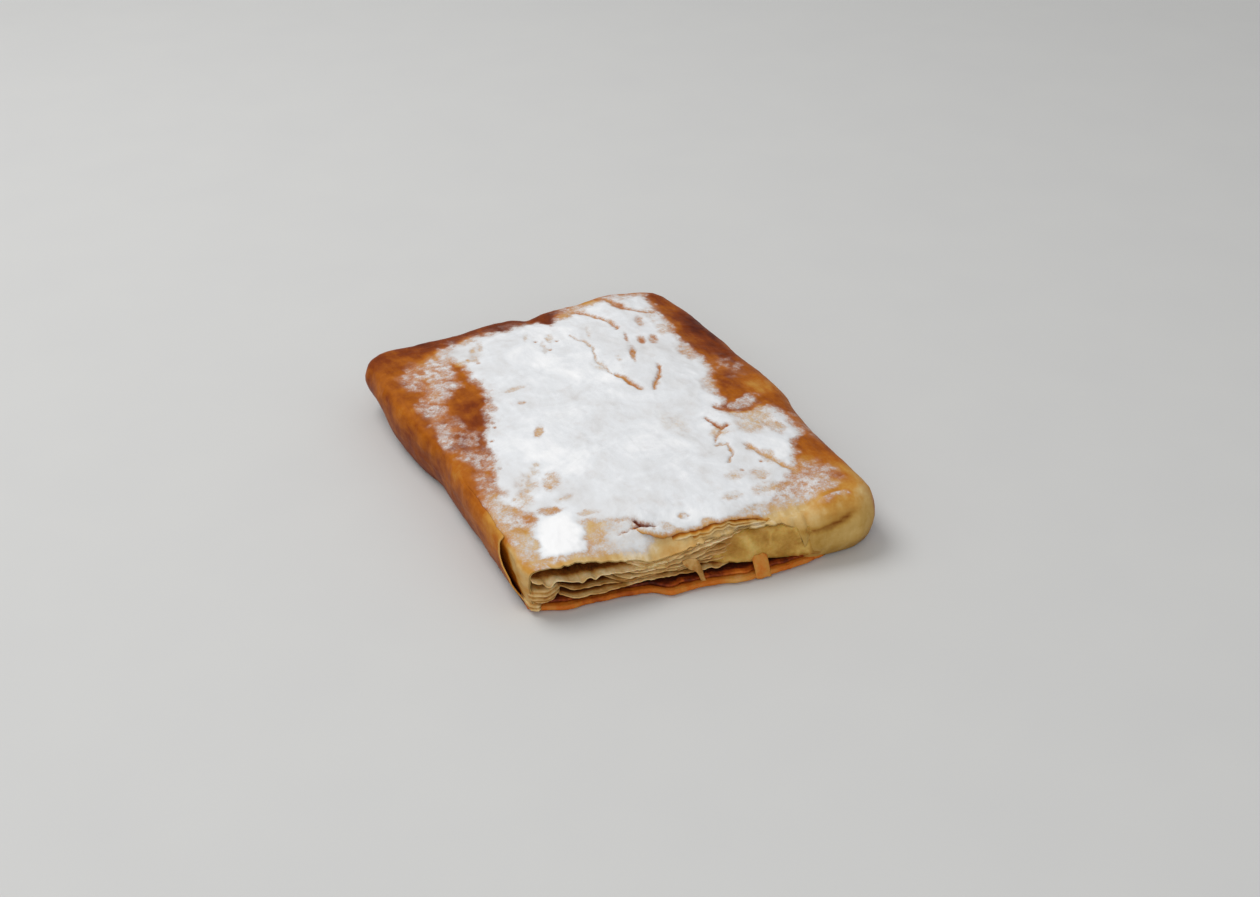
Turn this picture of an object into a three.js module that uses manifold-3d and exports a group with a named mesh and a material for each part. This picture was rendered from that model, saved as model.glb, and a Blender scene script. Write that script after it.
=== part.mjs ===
// A bougatsa: a rectangular parcel of baked phyllo round a slab of semolina custard.
// Three sides are folded shut and rounded. The short front end is open, so its leaves,
// its hollows and the end of the custard show.
//
// Millimetres. +X runs to the right along the open end, +Y from the open end to the closed
// one, +Z up. The origin is on the resting plane, below the middle of the parcel.

import * as THREE from "three";
import { mergeVertices } from "three/addons/utils/BufferGeometryUtils.js";
import Module from "manifold-3d";

// ---- driving sizes -------------------------------------------------------------------

const WIDTH = 124; // nominal, between the flanks; shares of the plan are taken of it
const LENGTH = 164; // nominal, from the open end to the closed end
const EDGE_HEIGHT = 20.5; // top sheet where it turns down into a flank
const CROWN = 3.8; // how much higher the middle of the top is
const LEFT_FRONT_SAG = 3.2; // how far the top sinks at the left corner of the open end
const BELLY_HEIGHT = 8.5; // where the flanks bulge most
const SHOULDER = 9; // from the bulge of a flank inwards to the top sheet
const FOOT_INSET = 4.5; // from the bulge of a flank inwards to the foot
const SQUARE_POWER = 0.4; // of the left flank's shoulder, folded sharply; 1 is a quarter ellipse
const LIP_THICKNESS = 2.2; // browned bottom sheet that juts out at the open end
const GAP = 0.3; // clearance between the custard and the phyllo

const CUSTARD_FLOOR = 5; // phyllo below the custard
const CUSTARD_THICKNESS = 7.2;

const TOP_COLUMNS = 32;
const TOP_ROWS = 38;
const FLANK_RINGS = 10;
const RIGHT_WRAP = 0.8; // part of the half width where the right flank ends, round the corner

const CRUST_COLOUR = 0xc07e31;
const CUSTARD_COLOUR = 0xd6b45c;

const wasm = await Module();
wasm.setup();

// ---- small helpers -------------------------------------------------------------------

// A smooth function through a few hand-placed [position, value] pairs.
function through(pairs) {
  const positions = pairs.map((pair) => pair[0]);
  const values = pairs.map((pair) => pair[1]);
  const spline = new THREE.CubicInterpolant(positions, values, 1);
  const last = positions.length - 1;
  return (t) => spline.evaluate(THREE.MathUtils.clamp(t, positions[0], positions[last]))[0];
}

const mix = THREE.MathUtils.lerp;
const smooth = THREE.MathUtils.smoothstep;

function hump(x, middle, halfWidth) {
  return Math.exp(-(((x - middle) / halfWidth) ** 2));
}

// A closed solid from rows of points. Each row has the same number of points.
function addSheet(triangles, rows) {
  for (let j = 0; j + 1 < rows.length; j += 1) {
    for (let i = 0; i + 1 < rows[j].length; i += 1) {
      const [a, b] = [rows[j][i], rows[j][i + 1]];
      const [d, c] = [rows[j + 1][i], rows[j + 1][i + 1]];
      triangles.push(a, b, c, a, c, d);
    }
  }
}

// A flat lid over a loop of points that all lie at one height.
function addLid(triangles, loop, facingUp) {
  const outline = loop.map((point) => new THREE.Vector2(point.x, point.y));
  const counterClockwise = THREE.ShapeUtils.area(outline) > 0;
  for (const face of THREE.ShapeUtils.triangulateShape(outline, [])) {
    const order = counterClockwise === facingUp ? face : [face[0], face[2], face[1]];
    triangles.push(...order.map((index) => loop[index]));
  }
}

function toGeometry(triangles) {
  const geometry = new THREE.BufferGeometry().setFromPoints(triangles);
  return mergeVertices(geometry, 1e-4);
}

function toSolid(geometry) {
  const vertProperties = Float32Array.from(geometry.getAttribute("position").array);
  const triVerts = Uint32Array.from(geometry.getIndex().array);
  return new wasm.Manifold(new wasm.Mesh({ numProp: 3, vertProperties, triVerts }));
}

function fromSolid(solid) {
  const { vertProperties, triVerts } = solid.getMesh();
  const geometry = new THREE.BufferGeometry();
  geometry.setAttribute("position", new THREE.BufferAttribute(Float32Array.from(vertProperties), 3));
  geometry.setIndex(new THREE.BufferAttribute(Uint32Array.from(triVerts), 1));
  geometry.computeVertexNormals();
  return geometry;
}

// ---- plan of the parcel --------------------------------------------------------------
// u runs from -1 on the left edge to 1 on the right, v from -1 at the open end to 1 at the back.

const leftBulge = through([
  [-1, -59.6], [-0.78, -59.3], [-0.45, -59], [-0.12, -59.2],
  [0.08, -60.2], [0.22, -62], [0.45, -63], [0.75, -63.3], [1, -64],
]);
const rightBulge = through([
  [-1, 60.6], [-0.8, 61], [-0.5, 61], [-0.34, 61.6], [-0.22, 62.3],
  [-0.05, 63], [0.13, 62.9], [0.4, 62.7], [0.75, 62.3], [1, 61],
]);
const backBulge = through([
  [-1, 77], [-0.6, 76.6], [-0.36, 76.4], [-0.2, 79], [0.04, 80.2],
  [0.26, 80.2], [0.4, 79.3], [0.62, 81.1], [0.84, 80], [1, 78.6],
]);
const openEnd = through([
  [-1, -69.4], [-0.8, -71.4], [-0.55, -74], [-0.35, -76], [-0.12, -77.6],
  [0.15, -78.7], [0.45, -79.7], [0.8, -80.6], [1, -79.8],
]);

// How far each corner is rounded: a share of the half width, and how suddenly it begins.
function cornerRounding(u, v) {
  const right = smooth(u, -0.5, 0.5);
  const back = smooth(v, -0.5, 0.5);
  const share = mix(mix(0.012, 0.055, right), mix(0.03, 0.09, right), back);
  return { share, power: 0.84 / share };
}

// A point of the bulge outline for |u| = 1 or |v| = 1, and inside it for less.
function planPoint(u, v) {
  const { share, power } = cornerRounding(u, v);
  const uu = u * (1 - share * Math.abs(v) ** power);
  const vv = v * (1 - share * Math.abs(u) ** power);
  const x = mix(leftBulge(vv), rightBulge(vv), (uu + 1) / 2);
  const y = mix(openEnd(uu), backBulge(uu), (vv + 1) / 2);
  return { x, y };
}

// ---- height of the top sheet ---------------------------------------------------------

function topHeight(u, v) {
  const across = 1 - Math.abs(u) ** 3;
  const along = 1 - Math.abs(v) ** 4;
  const sag = LEFT_FRONT_SAG * smooth(-u, 0.1, 1) * smooth(-v, 0.55, 1);
  const frontArch = 0.9 * hump(u, 0.12, 0.22) * smooth(-v, 0.6, 1);
  const rolls = 0.5 * Math.sin(5.2 * u + 1.1 * v) * Math.cos(4.3 * v - 0.6) * across;
  const backNotch = 2 * hump(u, 0.08, 0.08) * hump(v, 1, 0.12);
  const backRidge = 1.1 * hump(u, 0.62, 0.22) * hump(v, 0.95, 0.3);
  return EDGE_HEIGHT + CROWN * across * along - sag + frontArch + rolls - backNotch + backRidge;
}

// ---- flanks --------------------------------------------------------------------------

// The grid of the top sheet stops at the shoulder, except at the open end, where it goes on.
const uShoulder = 1 - (2 * SHOULDER) / WIDTH;
const vShoulder = 1 - (2 * SHOULDER) / LENGTH;

function topPoint(i, j) {
  const u = mix(-1, 1, i / TOP_COLUMNS);
  const v = mix(-1, 1, j / TOP_ROWS);
  const frontReach = mix(1, vShoulder + 0.045, smooth(u, 0.3, 0.95));
  const { x, y } = planPoint(u * uShoulder, v < 0 ? v * frontReach : v * vShoulder);
  return new THREE.Vector3(x, y, topHeight(u, v));
}

// The left flank is folded sharply, but round its back corner it gives way to a soft bend.
function squarenessOf(outward, y) {
  return smooth(-outward.x, 0.5, 0.9) * (1 - smooth(y, 46, 68));
}

// Outward reach and height of a flank, from t = 0 at the shoulder to t = 1 at the foot. The
// shoulder bends more tightly the squarer it is, from 0 to 1.
function flankProfile(t, shoulderHeight, squareness) {
  const upper = 0.62; // the part of t above the belly
  if (t <= upper) {
    const power = mix(1, SQUARE_POWER, squareness);
    const passed = (t / upper) ** (1 / power);
    const ahead = (1 - t / upper) ** (1 / power);
    const angle = (passed / (passed + ahead)) * (Math.PI / 2);
    return {
      reach: SHOULDER * Math.sin(angle) ** power,
      z: BELLY_HEIGHT + (shoulderHeight - BELLY_HEIGHT) * Math.max(Math.cos(angle), 0) ** power,
    };
  }
  const angle = ((t - upper) / (1 - upper)) * (Math.PI / 2);
  return {
    reach: SHOULDER - FOOT_INSET * (1 - Math.cos(angle)),
    z: BELLY_HEIGHT * (1 - Math.sin(angle)),
  };
}

// The rim of the top sheet from the open end's right corner, round the back, to its left corner.
const wrapColumn = Math.round((TOP_COLUMNS * (RIGHT_WRAP + 1)) / 2);
const rim = [];
for (let i = wrapColumn; i < TOP_COLUMNS; i += 1) rim.push([i, 0]);
for (let j = 0; j < TOP_ROWS; j += 1) rim.push([TOP_COLUMNS, j]);
for (let i = TOP_COLUMNS; i > 0; i -= 1) rim.push([i, TOP_ROWS]);
for (let j = TOP_ROWS; j >= 0; j -= 1) rim.push([0, j]);

function rimNormal(k) {
  const before = topPoint(...rim[Math.max(k - 1, 0)]);
  const after = topPoint(...rim[Math.min(k + 1, rim.length - 1)]);
  const normal = new THREE.Vector3(after.y - before.y, before.x - after.x, 0).normalize();
  if (k === rim.length - 1) normal.set(-1, 0, 0); // the left flank ends square at the open end
  return normal;
}

function flankPoint(k, t) {
  const start = topPoint(...rim[k]);
  const outward = rimNormal(k);
  const { reach, z } = flankProfile(t, start.z, squarenessOf(outward, start.y));
  const creases = 0.35 * Math.sin(k * 0.9) * Math.sin(Math.PI * t);
  const point = start.clone().addScaledVector(outward, t === 0 ? 0 : reach + creases);
  point.z = t === 1 ? 0 : z;
  return point;
}

// ---- open end ------------------------------------------------------------------------

// The torn ends of the leaves stand a little in or out as they go up.
function leafRelief(u, t) {
  const fold = 0.9 * Math.sin(17 * t + 5 * u) * Math.sin(Math.PI * t);
  const hollow = 1.6 * Math.sin(Math.PI * t) * hump(u, -0.55, 0.5);
  return fold + hollow;
}

function endPoint(i, t) {
  const top = topPoint(i, 0);
  const left = flankPoint(rim.length - 1, t);
  const right = flankPoint(0, t);
  const share = i / wrapColumn;
  const leftTop = topPoint(0, 0);
  const rightTop = topPoint(wrapColumn, 0);
  const x = top.x + mix(left.x - leftTop.x, right.x - rightTop.x, share);
  const reach = mix(left.y - leftTop.y, right.y - rightTop.y, smooth(share, 0.7, 1));
  const fade = smooth(share, 0, 0.04) * smooth(1 - share, 0, 0.04);
  const u = mix(-1, RIGHT_WRAP, share);
  const y = top.y + reach + fade * leafRelief(u, t);
  const drop = mix(left.z / leftTop.z, right.z / rightTop.z, share);
  return new THREE.Vector3(x, y, t === 1 ? 0 : top.z * drop);
}

function wholeParcel() {
  const triangles = [];
  const steps = Array.from({ length: FLANK_RINGS + 1 }, (_, ring) => ring / FLANK_RINGS);
  const columns = Array.from({ length: TOP_COLUMNS + 1 }, (_, i) => i);
  const topRows = Array.from({ length: TOP_ROWS + 1 }, (_, j) => columns.map((i) => topPoint(i, j)));
  addSheet(triangles, topRows);
  addSheet(triangles, steps.map((t) => rim.map((_, k) => flankPoint(k, t))).reverse());
  const endColumns = columns.slice(0, wrapColumn + 1);
  const corner = rim.length - 1;
  const endRow = (t) => endColumns.map((i) => {
    if (t === 0) return topPoint(i, 0);
    if (i === 0) return flankPoint(corner, t);
    return i === wrapColumn ? flankPoint(0, t) : endPoint(i, t);
  });
  addSheet(triangles, steps.map(endRow).reverse());
  const foot = rim.map((_, k) => flankPoint(k, 1)).concat(endRow(1).slice(1, -1));
  addLid(triangles, foot, false);
  return toSolid(toGeometry(triangles));
}

// ---- what is cut out of the open end -------------------------------------------------

const WEDGE_STATIONS = 14;
const OUTSIDE = 14; // how far each cutter starts in front of the leaves
const TIP_LENGTH = 1; // over which a gap rounds off at its inner end

// A wedge of air, thin at both ends of its run. at(share, swell) gives the middle of its tip,
// the depth from the mouth to the tip, and half its thickness as a vector.
function wedge(at) {
  const inwards = new THREE.Vector3(0, 1, 0);
  const rows = [];
  for (let n = 0; n <= WEDGE_STATIONS; n += 1) {
    const share = n / WEDGE_STATIONS;
    const swell = 0.12 + 0.88 * Math.sin(Math.PI * share) ** 0.6;
    const { tip, mouth, half } = at(share, swell);
    const neck = tip.clone().addScaledVector(inwards, -TIP_LENGTH);
    rows.push([
      mouth.clone().sub(half),
      neck.clone().addScaledVector(half, -0.6),
      tip,
      neck.clone().addScaledVector(half, 0.6),
      mouth.clone().add(half),
    ]);
  }
  const triangles = [];
  addSheet(triangles, rows.map((row) => [...row, row[0]]));
  for (const [row, flip] of [[rows[0], true], [rows[WEDGE_STATIONS], false]]) {
    for (let n = 1; n + 1 < row.length; n += 1) {
      triangles.push(row[0], ...(flip ? [row[n + 1], row[n]] : [row[n], row[n + 1]]));
    }
  }
  return toSolid(toGeometry(triangles));
}

// A level gap between two leaves, from x = from to x = to.
function leafGap({ from, to, height, thickness, depth, lean = 0 }) {
  return wedge((share, swell) => {
    const x = mix(from, to, share);
    const front = openEnd((2 * x) / WIDTH);
    return {
      mouth: new THREE.Vector3(x, front - OUTSIDE, height(x)),
      tip: new THREE.Vector3(x, front + depth * swell, height(x) + lean),
      half: new THREE.Vector3(0, 0, (thickness * swell) / 2),
    };
  });
}

// The upright slit where the outer sheet has come away from the left corner.
function cornerSlit({ x, bottom, top, thickness, depth }) {
  return wedge((share, swell) => {
    const z = mix(top, bottom, share);
    const front = openEnd((2 * x) / WIDTH);
    return {
      mouth: new THREE.Vector3(x, front - OUTSIDE, z),
      tip: new THREE.Vector3(x + 1, front + depth * swell, z),
      half: new THREE.Vector3((thickness * swell) / 2, 0, 0),
    };
  });
}

function endHollows() {
  const rise = (x) => 0.02 * (x + 20); // the leaves climb a little to the right
  return [
    // the dark slit that parts the browned bottom sheet from the leaves
    { from: -50, to: 40, height: (x) => LIP_THICKNESS + 0.7 - 0.4 * rise(x), thickness: 1.9, depth: 7 },
    // the deep hollow under the top sheet, on the left
    { from: -51, to: -17, height: (x) => 15.4 - 0.4 * rise(x), thickness: 3.4, depth: 16, lean: -0.8 },
    // the hollow below the drooping leaf
    { from: -48, to: -30, height: () => 9.2, thickness: 3.2, depth: 12 },
    // thin gaps between the leaves of the middle, which rise to the right
    { from: -32, to: 14, height: (x) => 12.8 + 0.11 * (x + 20), thickness: 1.1, depth: 8 },
    { from: -12, to: 30, height: (x) => 17.2 + 0.03 * x, thickness: 1.3, depth: 6 },
  ].map(leafGap).concat(cornerSlit({ x: -56.2, bottom: 2.5, top: 13.5, thickness: 1.4, depth: 9 }));
}

// ---- custard -------------------------------------------------------------------------

const custardFront = through([
  [-46, -46], [-34, -54], [-18, -60], [-4, -70], [6, -76.5], [20, -80], [33, -82], [42, -82], [47, -81],
]);
const CUSTARD_LEFT = -46;
const CUSTARD_RIGHT = 47;
const CUSTARD_BACK = 64;
const CUSTARD_COLUMNS = 18;
const CUSTARD_ROWS = 18;

function custardTop(x, y) {
  const across = 1 - Math.abs(x / 56) ** 3;
  const along = 1 - Math.abs(y / 88) ** 4;
  return CUSTARD_FLOOR + CUSTARD_THICKNESS * (0.72 + 0.28 * across * along);
}

// The slab of custard, grown on all sides by a clearance for the pocket that holds it. The
// pocket also runs out through the open end by the given reach.
function custardSlab(grow, reach) {
  const ROUND = 2.4; // radius of the slab's edges
  const rowsOf = (height, inset) => {
    const rows = [];
    for (let j = 0; j <= CUSTARD_ROWS; j += 1) {
      const row = [];
      for (let i = 0; i <= CUSTARD_COLUMNS; i += 1) {
        const x = mix(CUSTARD_LEFT - grow + inset, CUSTARD_RIGHT + grow - inset, i / CUSTARD_COLUMNS);
        const front = custardFront(x) - grow - reach + inset;
        const y = mix(front, CUSTARD_BACK + grow - inset, j / CUSTARD_ROWS);
        row.push(new THREE.Vector3(x, y, height(x, y)));
      }
      rows.push(row);
    }
    return rows;
  };
  const edgeOf = (rows) => [
    ...rows[0].slice(0, -1),
    ...rows.slice(0, -1).map((row) => row[row.length - 1]),
    ...rows[CUSTARD_ROWS].slice(1).reverse(),
    ...rows.slice(1).map((row) => row[0]).reverse(),
  ];
  const floor = CUSTARD_FLOOR - grow;
  const upper = rowsOf((x, y) => custardTop(x, y) + grow, ROUND);
  const upperEdge = edgeOf(upper);
  const wideEdge = edgeOf(rowsOf(() => 0, 0));
  const lowerEdge = edgeOf(rowsOf(() => floor, ROUND / 2));
  const below = wideEdge.map((p, n) => new THREE.Vector3(p.x, p.y, upperEdge[n].z - ROUND));
  const above = wideEdge.map((p) => new THREE.Vector3(p.x, p.y, floor + ROUND / 2));
  const rings = [lowerEdge, above, below, upperEdge].map((ring) => [...ring, ring[0]]);
  const triangles = [];
  addSheet(triangles, upper);
  addSheet(triangles, rings);
  addLid(triangles, lowerEdge, false);
  return toSolid(toGeometry(triangles));
}

// ---- the two sub-parts ---------------------------------------------------------------

function phylloParcel() {
  let solid = wholeParcel();
  for (const hollow of endHollows()) solid = solid.subtract(hollow);
  return solid.subtract(custardSlab(GAP, 12));
}

function addPart(group, name, solid, colour, roughness) {
  const material = new THREE.MeshStandardMaterial({ color: colour, roughness, metalness: 0 });
  const mesh = new THREE.Mesh(fromSolid(solid), material);
  mesh.name = name;
  group.add(mesh);
}

// Moves the group so that the origin is below the middle of its box.
function centreOverOrigin(group) {
  const middle = new THREE.Box3().setFromObject(group).getCenter(new THREE.Vector3());
  group.position.set(-middle.x, -middle.y, 0);
}

const bougatsa = new THREE.Group();
addPart(bougatsa, "phyllo_parcel", phylloParcel(), CRUST_COLOUR, 0.7);
addPart(bougatsa, "custard", custardSlab(0, 0), CUSTARD_COLOUR, 0.45);
centreOverOrigin(bougatsa);

export default bougatsa;
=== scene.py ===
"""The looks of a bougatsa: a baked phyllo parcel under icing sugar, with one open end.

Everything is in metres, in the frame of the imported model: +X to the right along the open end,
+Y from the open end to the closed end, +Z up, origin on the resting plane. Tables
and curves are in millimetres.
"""

import math
from functools import reduce

import bpy
import numpy as np
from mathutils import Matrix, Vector


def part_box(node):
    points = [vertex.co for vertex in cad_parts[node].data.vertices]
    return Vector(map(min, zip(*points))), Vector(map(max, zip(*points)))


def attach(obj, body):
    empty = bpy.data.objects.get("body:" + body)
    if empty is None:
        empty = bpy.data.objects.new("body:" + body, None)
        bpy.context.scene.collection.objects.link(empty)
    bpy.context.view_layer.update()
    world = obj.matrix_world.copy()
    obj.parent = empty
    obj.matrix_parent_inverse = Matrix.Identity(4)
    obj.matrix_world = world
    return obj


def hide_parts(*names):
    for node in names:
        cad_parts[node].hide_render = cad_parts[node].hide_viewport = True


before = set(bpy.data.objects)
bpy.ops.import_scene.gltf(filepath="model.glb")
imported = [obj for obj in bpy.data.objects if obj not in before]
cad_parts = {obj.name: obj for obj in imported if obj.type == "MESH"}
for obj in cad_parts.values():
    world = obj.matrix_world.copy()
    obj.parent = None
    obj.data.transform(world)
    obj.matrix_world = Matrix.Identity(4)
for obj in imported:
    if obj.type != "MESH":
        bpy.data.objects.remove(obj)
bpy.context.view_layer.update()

CUSTARD_LOW, CUSTARD_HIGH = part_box("custard")

MM = 0.001

# ---- driving sizes ---------------------------------------------------------------------

WIDTH = 124 * MM  # nominal sizes, which turn the width of the shoulder into a share
LENGTH = 164 * MM
EDGE_HEIGHT = 20.5 * MM
CROWN = 3.8 * MM
LEFT_FRONT_SAG = 3.2 * MM
FRONT_ARCH = 0.9 * MM
ROLL = 0.5 * MM
BACK_NOTCH = 2 * MM
BACK_RIDGE = 1.1 * MM
BELLY_HEIGHT = 8.5 * MM
SHOULDER = 9 * MM
FOOT_INSET = 4.5 * MM
SQUARE_POWER = 0.4  # of the left flank's shoulder, which is folded sharply; 1 is a quarter ellipse
CURL_START = 0.25  # share of the half width where the top sheet begins to curl over the open end
CURL_END = 0.64  # and where, near the right corner, it reaches down to the foot
FRONT_FULL = 0.9  # share where the front face stands out as far as the closed sides do

# How much each corner of the outline is rounded off, as a share of the half size.
LEFT_FRONT_ROUNDING = 0.012
RIGHT_FRONT_ROUNDING = 0.055
LEFT_BACK_ROUNDING = 0.018
RIGHT_BACK_ROUNDING = 0.09
CORNER_STEEPNESS = 0.84  # how steeply a side turns in at the corner itself

TOP_COLUMNS = 210
TOP_ROWS = 270
FLANK_RINGS = 28

# ---- numbers and noise -----------------------------------------------------------------


def through(pairs):
    """A smooth function through a few given (position, value) pairs."""
    at, value = np.array(pairs, float).T
    slope = np.gradient(value, at)

    def curve(t):
        t = np.clip(t, at[0], at[-1])
        k = np.clip(np.searchsorted(at, t) - 1, 0, len(at) - 2)
        run = at[k + 1] - at[k]
        s = (t - at[k]) / run
        ease = s * s * (3 - 2 * s)
        bend = run * (slope[k] * s * (1 - s) ** 2 - slope[k + 1] * s * s * (1 - s))
        return value[k] + (value[k + 1] - value[k]) * ease + bend

    return curve


def mix(a, b, t):
    return a + (b - a) * t


def smooth(x, low, high):
    """0 up to low, 1 from high on, and a soft S between them."""
    t = np.clip((x - low) / (high - low), 0, 1)
    return t * t * (3 - 2 * t)


def hump(x, middle, half_width):
    """A bell that is 1 at its middle."""
    return np.exp(-(((x - middle) / half_width) ** 2))


def signed_power(x, power):
    return np.sign(x) * np.abs(x) ** power


def lattice(ix, iy, iz, seed):
    """A repeatable random number from -1 to 1 at each whole-number place."""
    h = (ix * 374761393 + iy * 668265263 + iz * 1103515245 + seed * 974711) & 0xFFFFFFFF
    h = ((h ^ (h >> 13)) * 1274126177) & 0xFFFFFFFF
    h = ((h ^ (h >> 15)) * 2246822519) & 0xFFFFFFFF
    return ((h ^ (h >> 16)) & 0xFFFF) / 32767.5 - 1


def noise(x, y, z, scale, seed):
    """Smooth value noise from -1 to 1 with features about one scale across; y or z may be just 0."""
    px, py, pz = x / scale, y / scale, z / scale
    ix, iy, iz = (np.floor(p).astype(np.int64) for p in (px, py, pz))
    fx, fy, fz = px - ix, py - iy, pz - iz
    fx, fy, fz = (f * f * f * (f * (f * 6 - 15) + 10) for f in (fx, fy, fz))
    total = 0
    for dx in (0, 1):
        for dy in (0, 1):
            for dz in (0, 1):
                weight = (fx if dx else 1 - fx) * (fy if dy else 1 - fy) * (fz if dz else 1 - fz)
                total = total + weight * lattice(ix + dx, iy + dy, iz + dz, seed)
    return total


def clouds(x, y, z, scale, seed, octaves=3):
    """Noise at several scales, each half as large and half as strong as the one before."""
    total, reach, strength = 0, 0, 1.0
    for octave in range(octaves):
        total = total + strength * noise(x, y, z, scale / 2**octave, seed + 17 * octave)
        reach += strength
        strength *= 0.5
    return total / reach


def ridges(x, y, z, scale, seed):
    """Noise with sharp crests, from 0 to 1, for creases in thin baked sheets."""
    return (1 - np.abs(noise(x, y, z, scale, seed))) ** 3


# ---- outline and top of the parcel -----------------------------------------------------
# u runs from -1 on the left edge to 1 on the right, v from -1 at the open end to 1 at the back.

left_bulge = through([
    (-1, -59.6), (-0.78, -59.3), (-0.45, -59), (-0.12, -59.2), (0.08, -60.2), (0.22, -62), (0.45, -63),
    (0.75, -63.3), (1, -64),
])
right_bulge = through([
    (-1, 60.6), (-0.8, 61.4), (-0.5, 61.2), (-0.34, 62.2), (-0.22, 63.4), (-0.1, 65.2), (0.03, 65.4),
    (0.13, 64.9), (0.4, 64.2), (0.55, 63.8), (0.75, 62.6), (1, 61),
])
back_bulge = through([
    (-1, 77), (-0.6, 76.6), (-0.36, 76.4), (-0.2, 79), (0.04, 80.2), (0.26, 80.2), (0.4, 79.3), (0.62, 81.1),
    (0.84, 80), (1, 78.6),
])
open_end = through([
    (-1, -70.3), (-0.8, -71.6), (-0.55, -73.2), (-0.35, -74.5), (-0.12, -76.1), (0.15, -77.7), (0.45, -79.6),
    (0.8, -81.7), (1, -81),
])

U_SHOULDER = 1 - 2 * SHOULDER / WIDTH
V_SHOULDER = 1 - 2 * SHOULDER / LENGTH
RIGHT_FRONT_REACH = V_SHOULDER + 0.045  # share of the half length, above the right front corner


def plan(u, v):
    """Place in plan of a point of the bulge outline (|u| = 1 or |v| = 1) or inside it."""
    right = smooth(u, -0.5, 0.5)
    back = smooth(v, -0.5, 0.5)
    front_share = mix(LEFT_FRONT_ROUNDING, RIGHT_FRONT_ROUNDING, right)
    share = mix(front_share, mix(LEFT_BACK_ROUNDING, RIGHT_BACK_ROUNDING, right), back)
    power = CORNER_STEEPNESS / share
    uu = u * (1 - share * np.abs(v) ** power)
    vv = v * (1 - share * np.abs(u) ** power)
    x = mix(left_bulge(vv), right_bulge(vv), (uu + 1) / 2)
    y = mix(open_end(uu), back_bulge(uu), (vv + 1) / 2)
    return x * MM, y * MM


def top_plan(u, v):
    """Place in plan of the top sheet, which stops at the shoulders of the closed sides."""
    front_reach = mix(1, RIGHT_FRONT_REACH, smooth(u, 0.3, 0.95))
    return plan(u * U_SHOULDER, np.where(v < 0, v * front_reach, v * V_SHOULDER))


def top_height(u, v):
    """Height of the crowned top before its edge droops and its relief is added."""
    across = 1 - np.abs(u) ** 3
    along = 1 - np.abs(v) ** 4
    sag = LEFT_FRONT_SAG * smooth(-u, 0.1, 1) * smooth(-v, 0.55, 1)
    front_arch = FRONT_ARCH * hump(u, 0.12, 0.22) * smooth(-v, 0.6, 1)
    rolls = ROLL * np.sin(5.2 * u + 1.1 * v) * np.cos(4.3 * v - 0.6) * across
    back_notch = BACK_NOTCH * hump(u, 0.08, 0.08) * hump(v, 1, 0.12)
    back_ridge = BACK_RIDGE * hump(u, 0.62, 0.22) * hump(v, 0.95, 0.3)
    return EDGE_HEIGHT + CROWN * across * along - sag + front_arch + rolls - back_notch + back_ridge


FRONT_MIDDLE = -74.84 * MM
FRONT_SKEW = 0.1


def front_line(x):
    """Where the face of the open end lies along Y: it runs slightly skew across the parcel."""
    return FRONT_MIDDLE - FRONT_SKEW * x


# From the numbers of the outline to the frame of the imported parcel, whose middle is the origin.
SHIFT_X = -0.08 * MM
SHIFT_Y = 1.785 * MM

# ---- marks on the top ------------------------------------------------------------------
# Places are in plan, in millimetres from the origin of the frame.


def distance_to_line(x, y, points):
    """Distance in metres from each place to a line through given points."""
    nearest = np.full(np.shape(x), 1e9)
    points = np.array(points, float) * MM
    for (ax, ay), (bx, by) in zip(points[:-1], points[1:]):
        run_x, run_y = bx - ax, by - ay
        t = np.clip(((x - ax) * run_x + (y - ay) * run_y) / (run_x**2 + run_y**2), 0, 1)
        nearest = np.minimum(nearest, np.hypot(x - ax - t * run_x, y - ay - t * run_y))
    return nearest


def inside_distance(x, y, points):
    """Distance to a closed outline, in metres, positive inside it."""
    loop = [*points, points[0]]
    inside = np.zeros(np.shape(x), bool)
    for (ax, ay), (bx, by) in zip(np.array(loop[:-1], float) * MM, np.array(loop[1:], float) * MM):
        crosses = (ay > y) != (by > y)
        with np.errstate(divide="ignore", invalid="ignore"):
            inside ^= crosses & (x < (bx - ax) * (y - ay) / (by - ay) + ax)
    distance = distance_to_line(x, y, loop)
    return np.where(inside, distance, -distance)


def waver(x, y, size, scale, seed):
    """Shifts a place by soft noise, so that drawn edges come out ragged."""
    return x + size * clouds(x, y, 0, scale, seed), y + size * clouds(x, y, 0, scale, seed + 5)


def patch(x, y, ellipse, edge):
    """1 inside an ellipse (middle, half sizes, turn in degrees), falling softly to 0 past its edge."""
    middle_x, middle_y, half_length, half_width, turn = ellipse
    turn = math.radians(turn)
    dx, dy = x - middle_x * MM, y - middle_y * MM
    along = (dx * math.cos(turn) + dy * math.sin(turn)) / (half_length * MM)
    across = (dy * math.cos(turn) - dx * math.sin(turn)) / (half_width * MM)
    return 1 - smooth(np.hypot(along, across), 1 - edge, 1 + edge)


# Marks on the top are placed where a line of sight from the front left meets this level, since
# that is how they are looked at; a point above or below it is first carried there along the line.
MARK_LEVEL = 22.3 * MM
SIGHT_LEAN = (0.69, 1.44)  # run along X and Y for each unit of height

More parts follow.
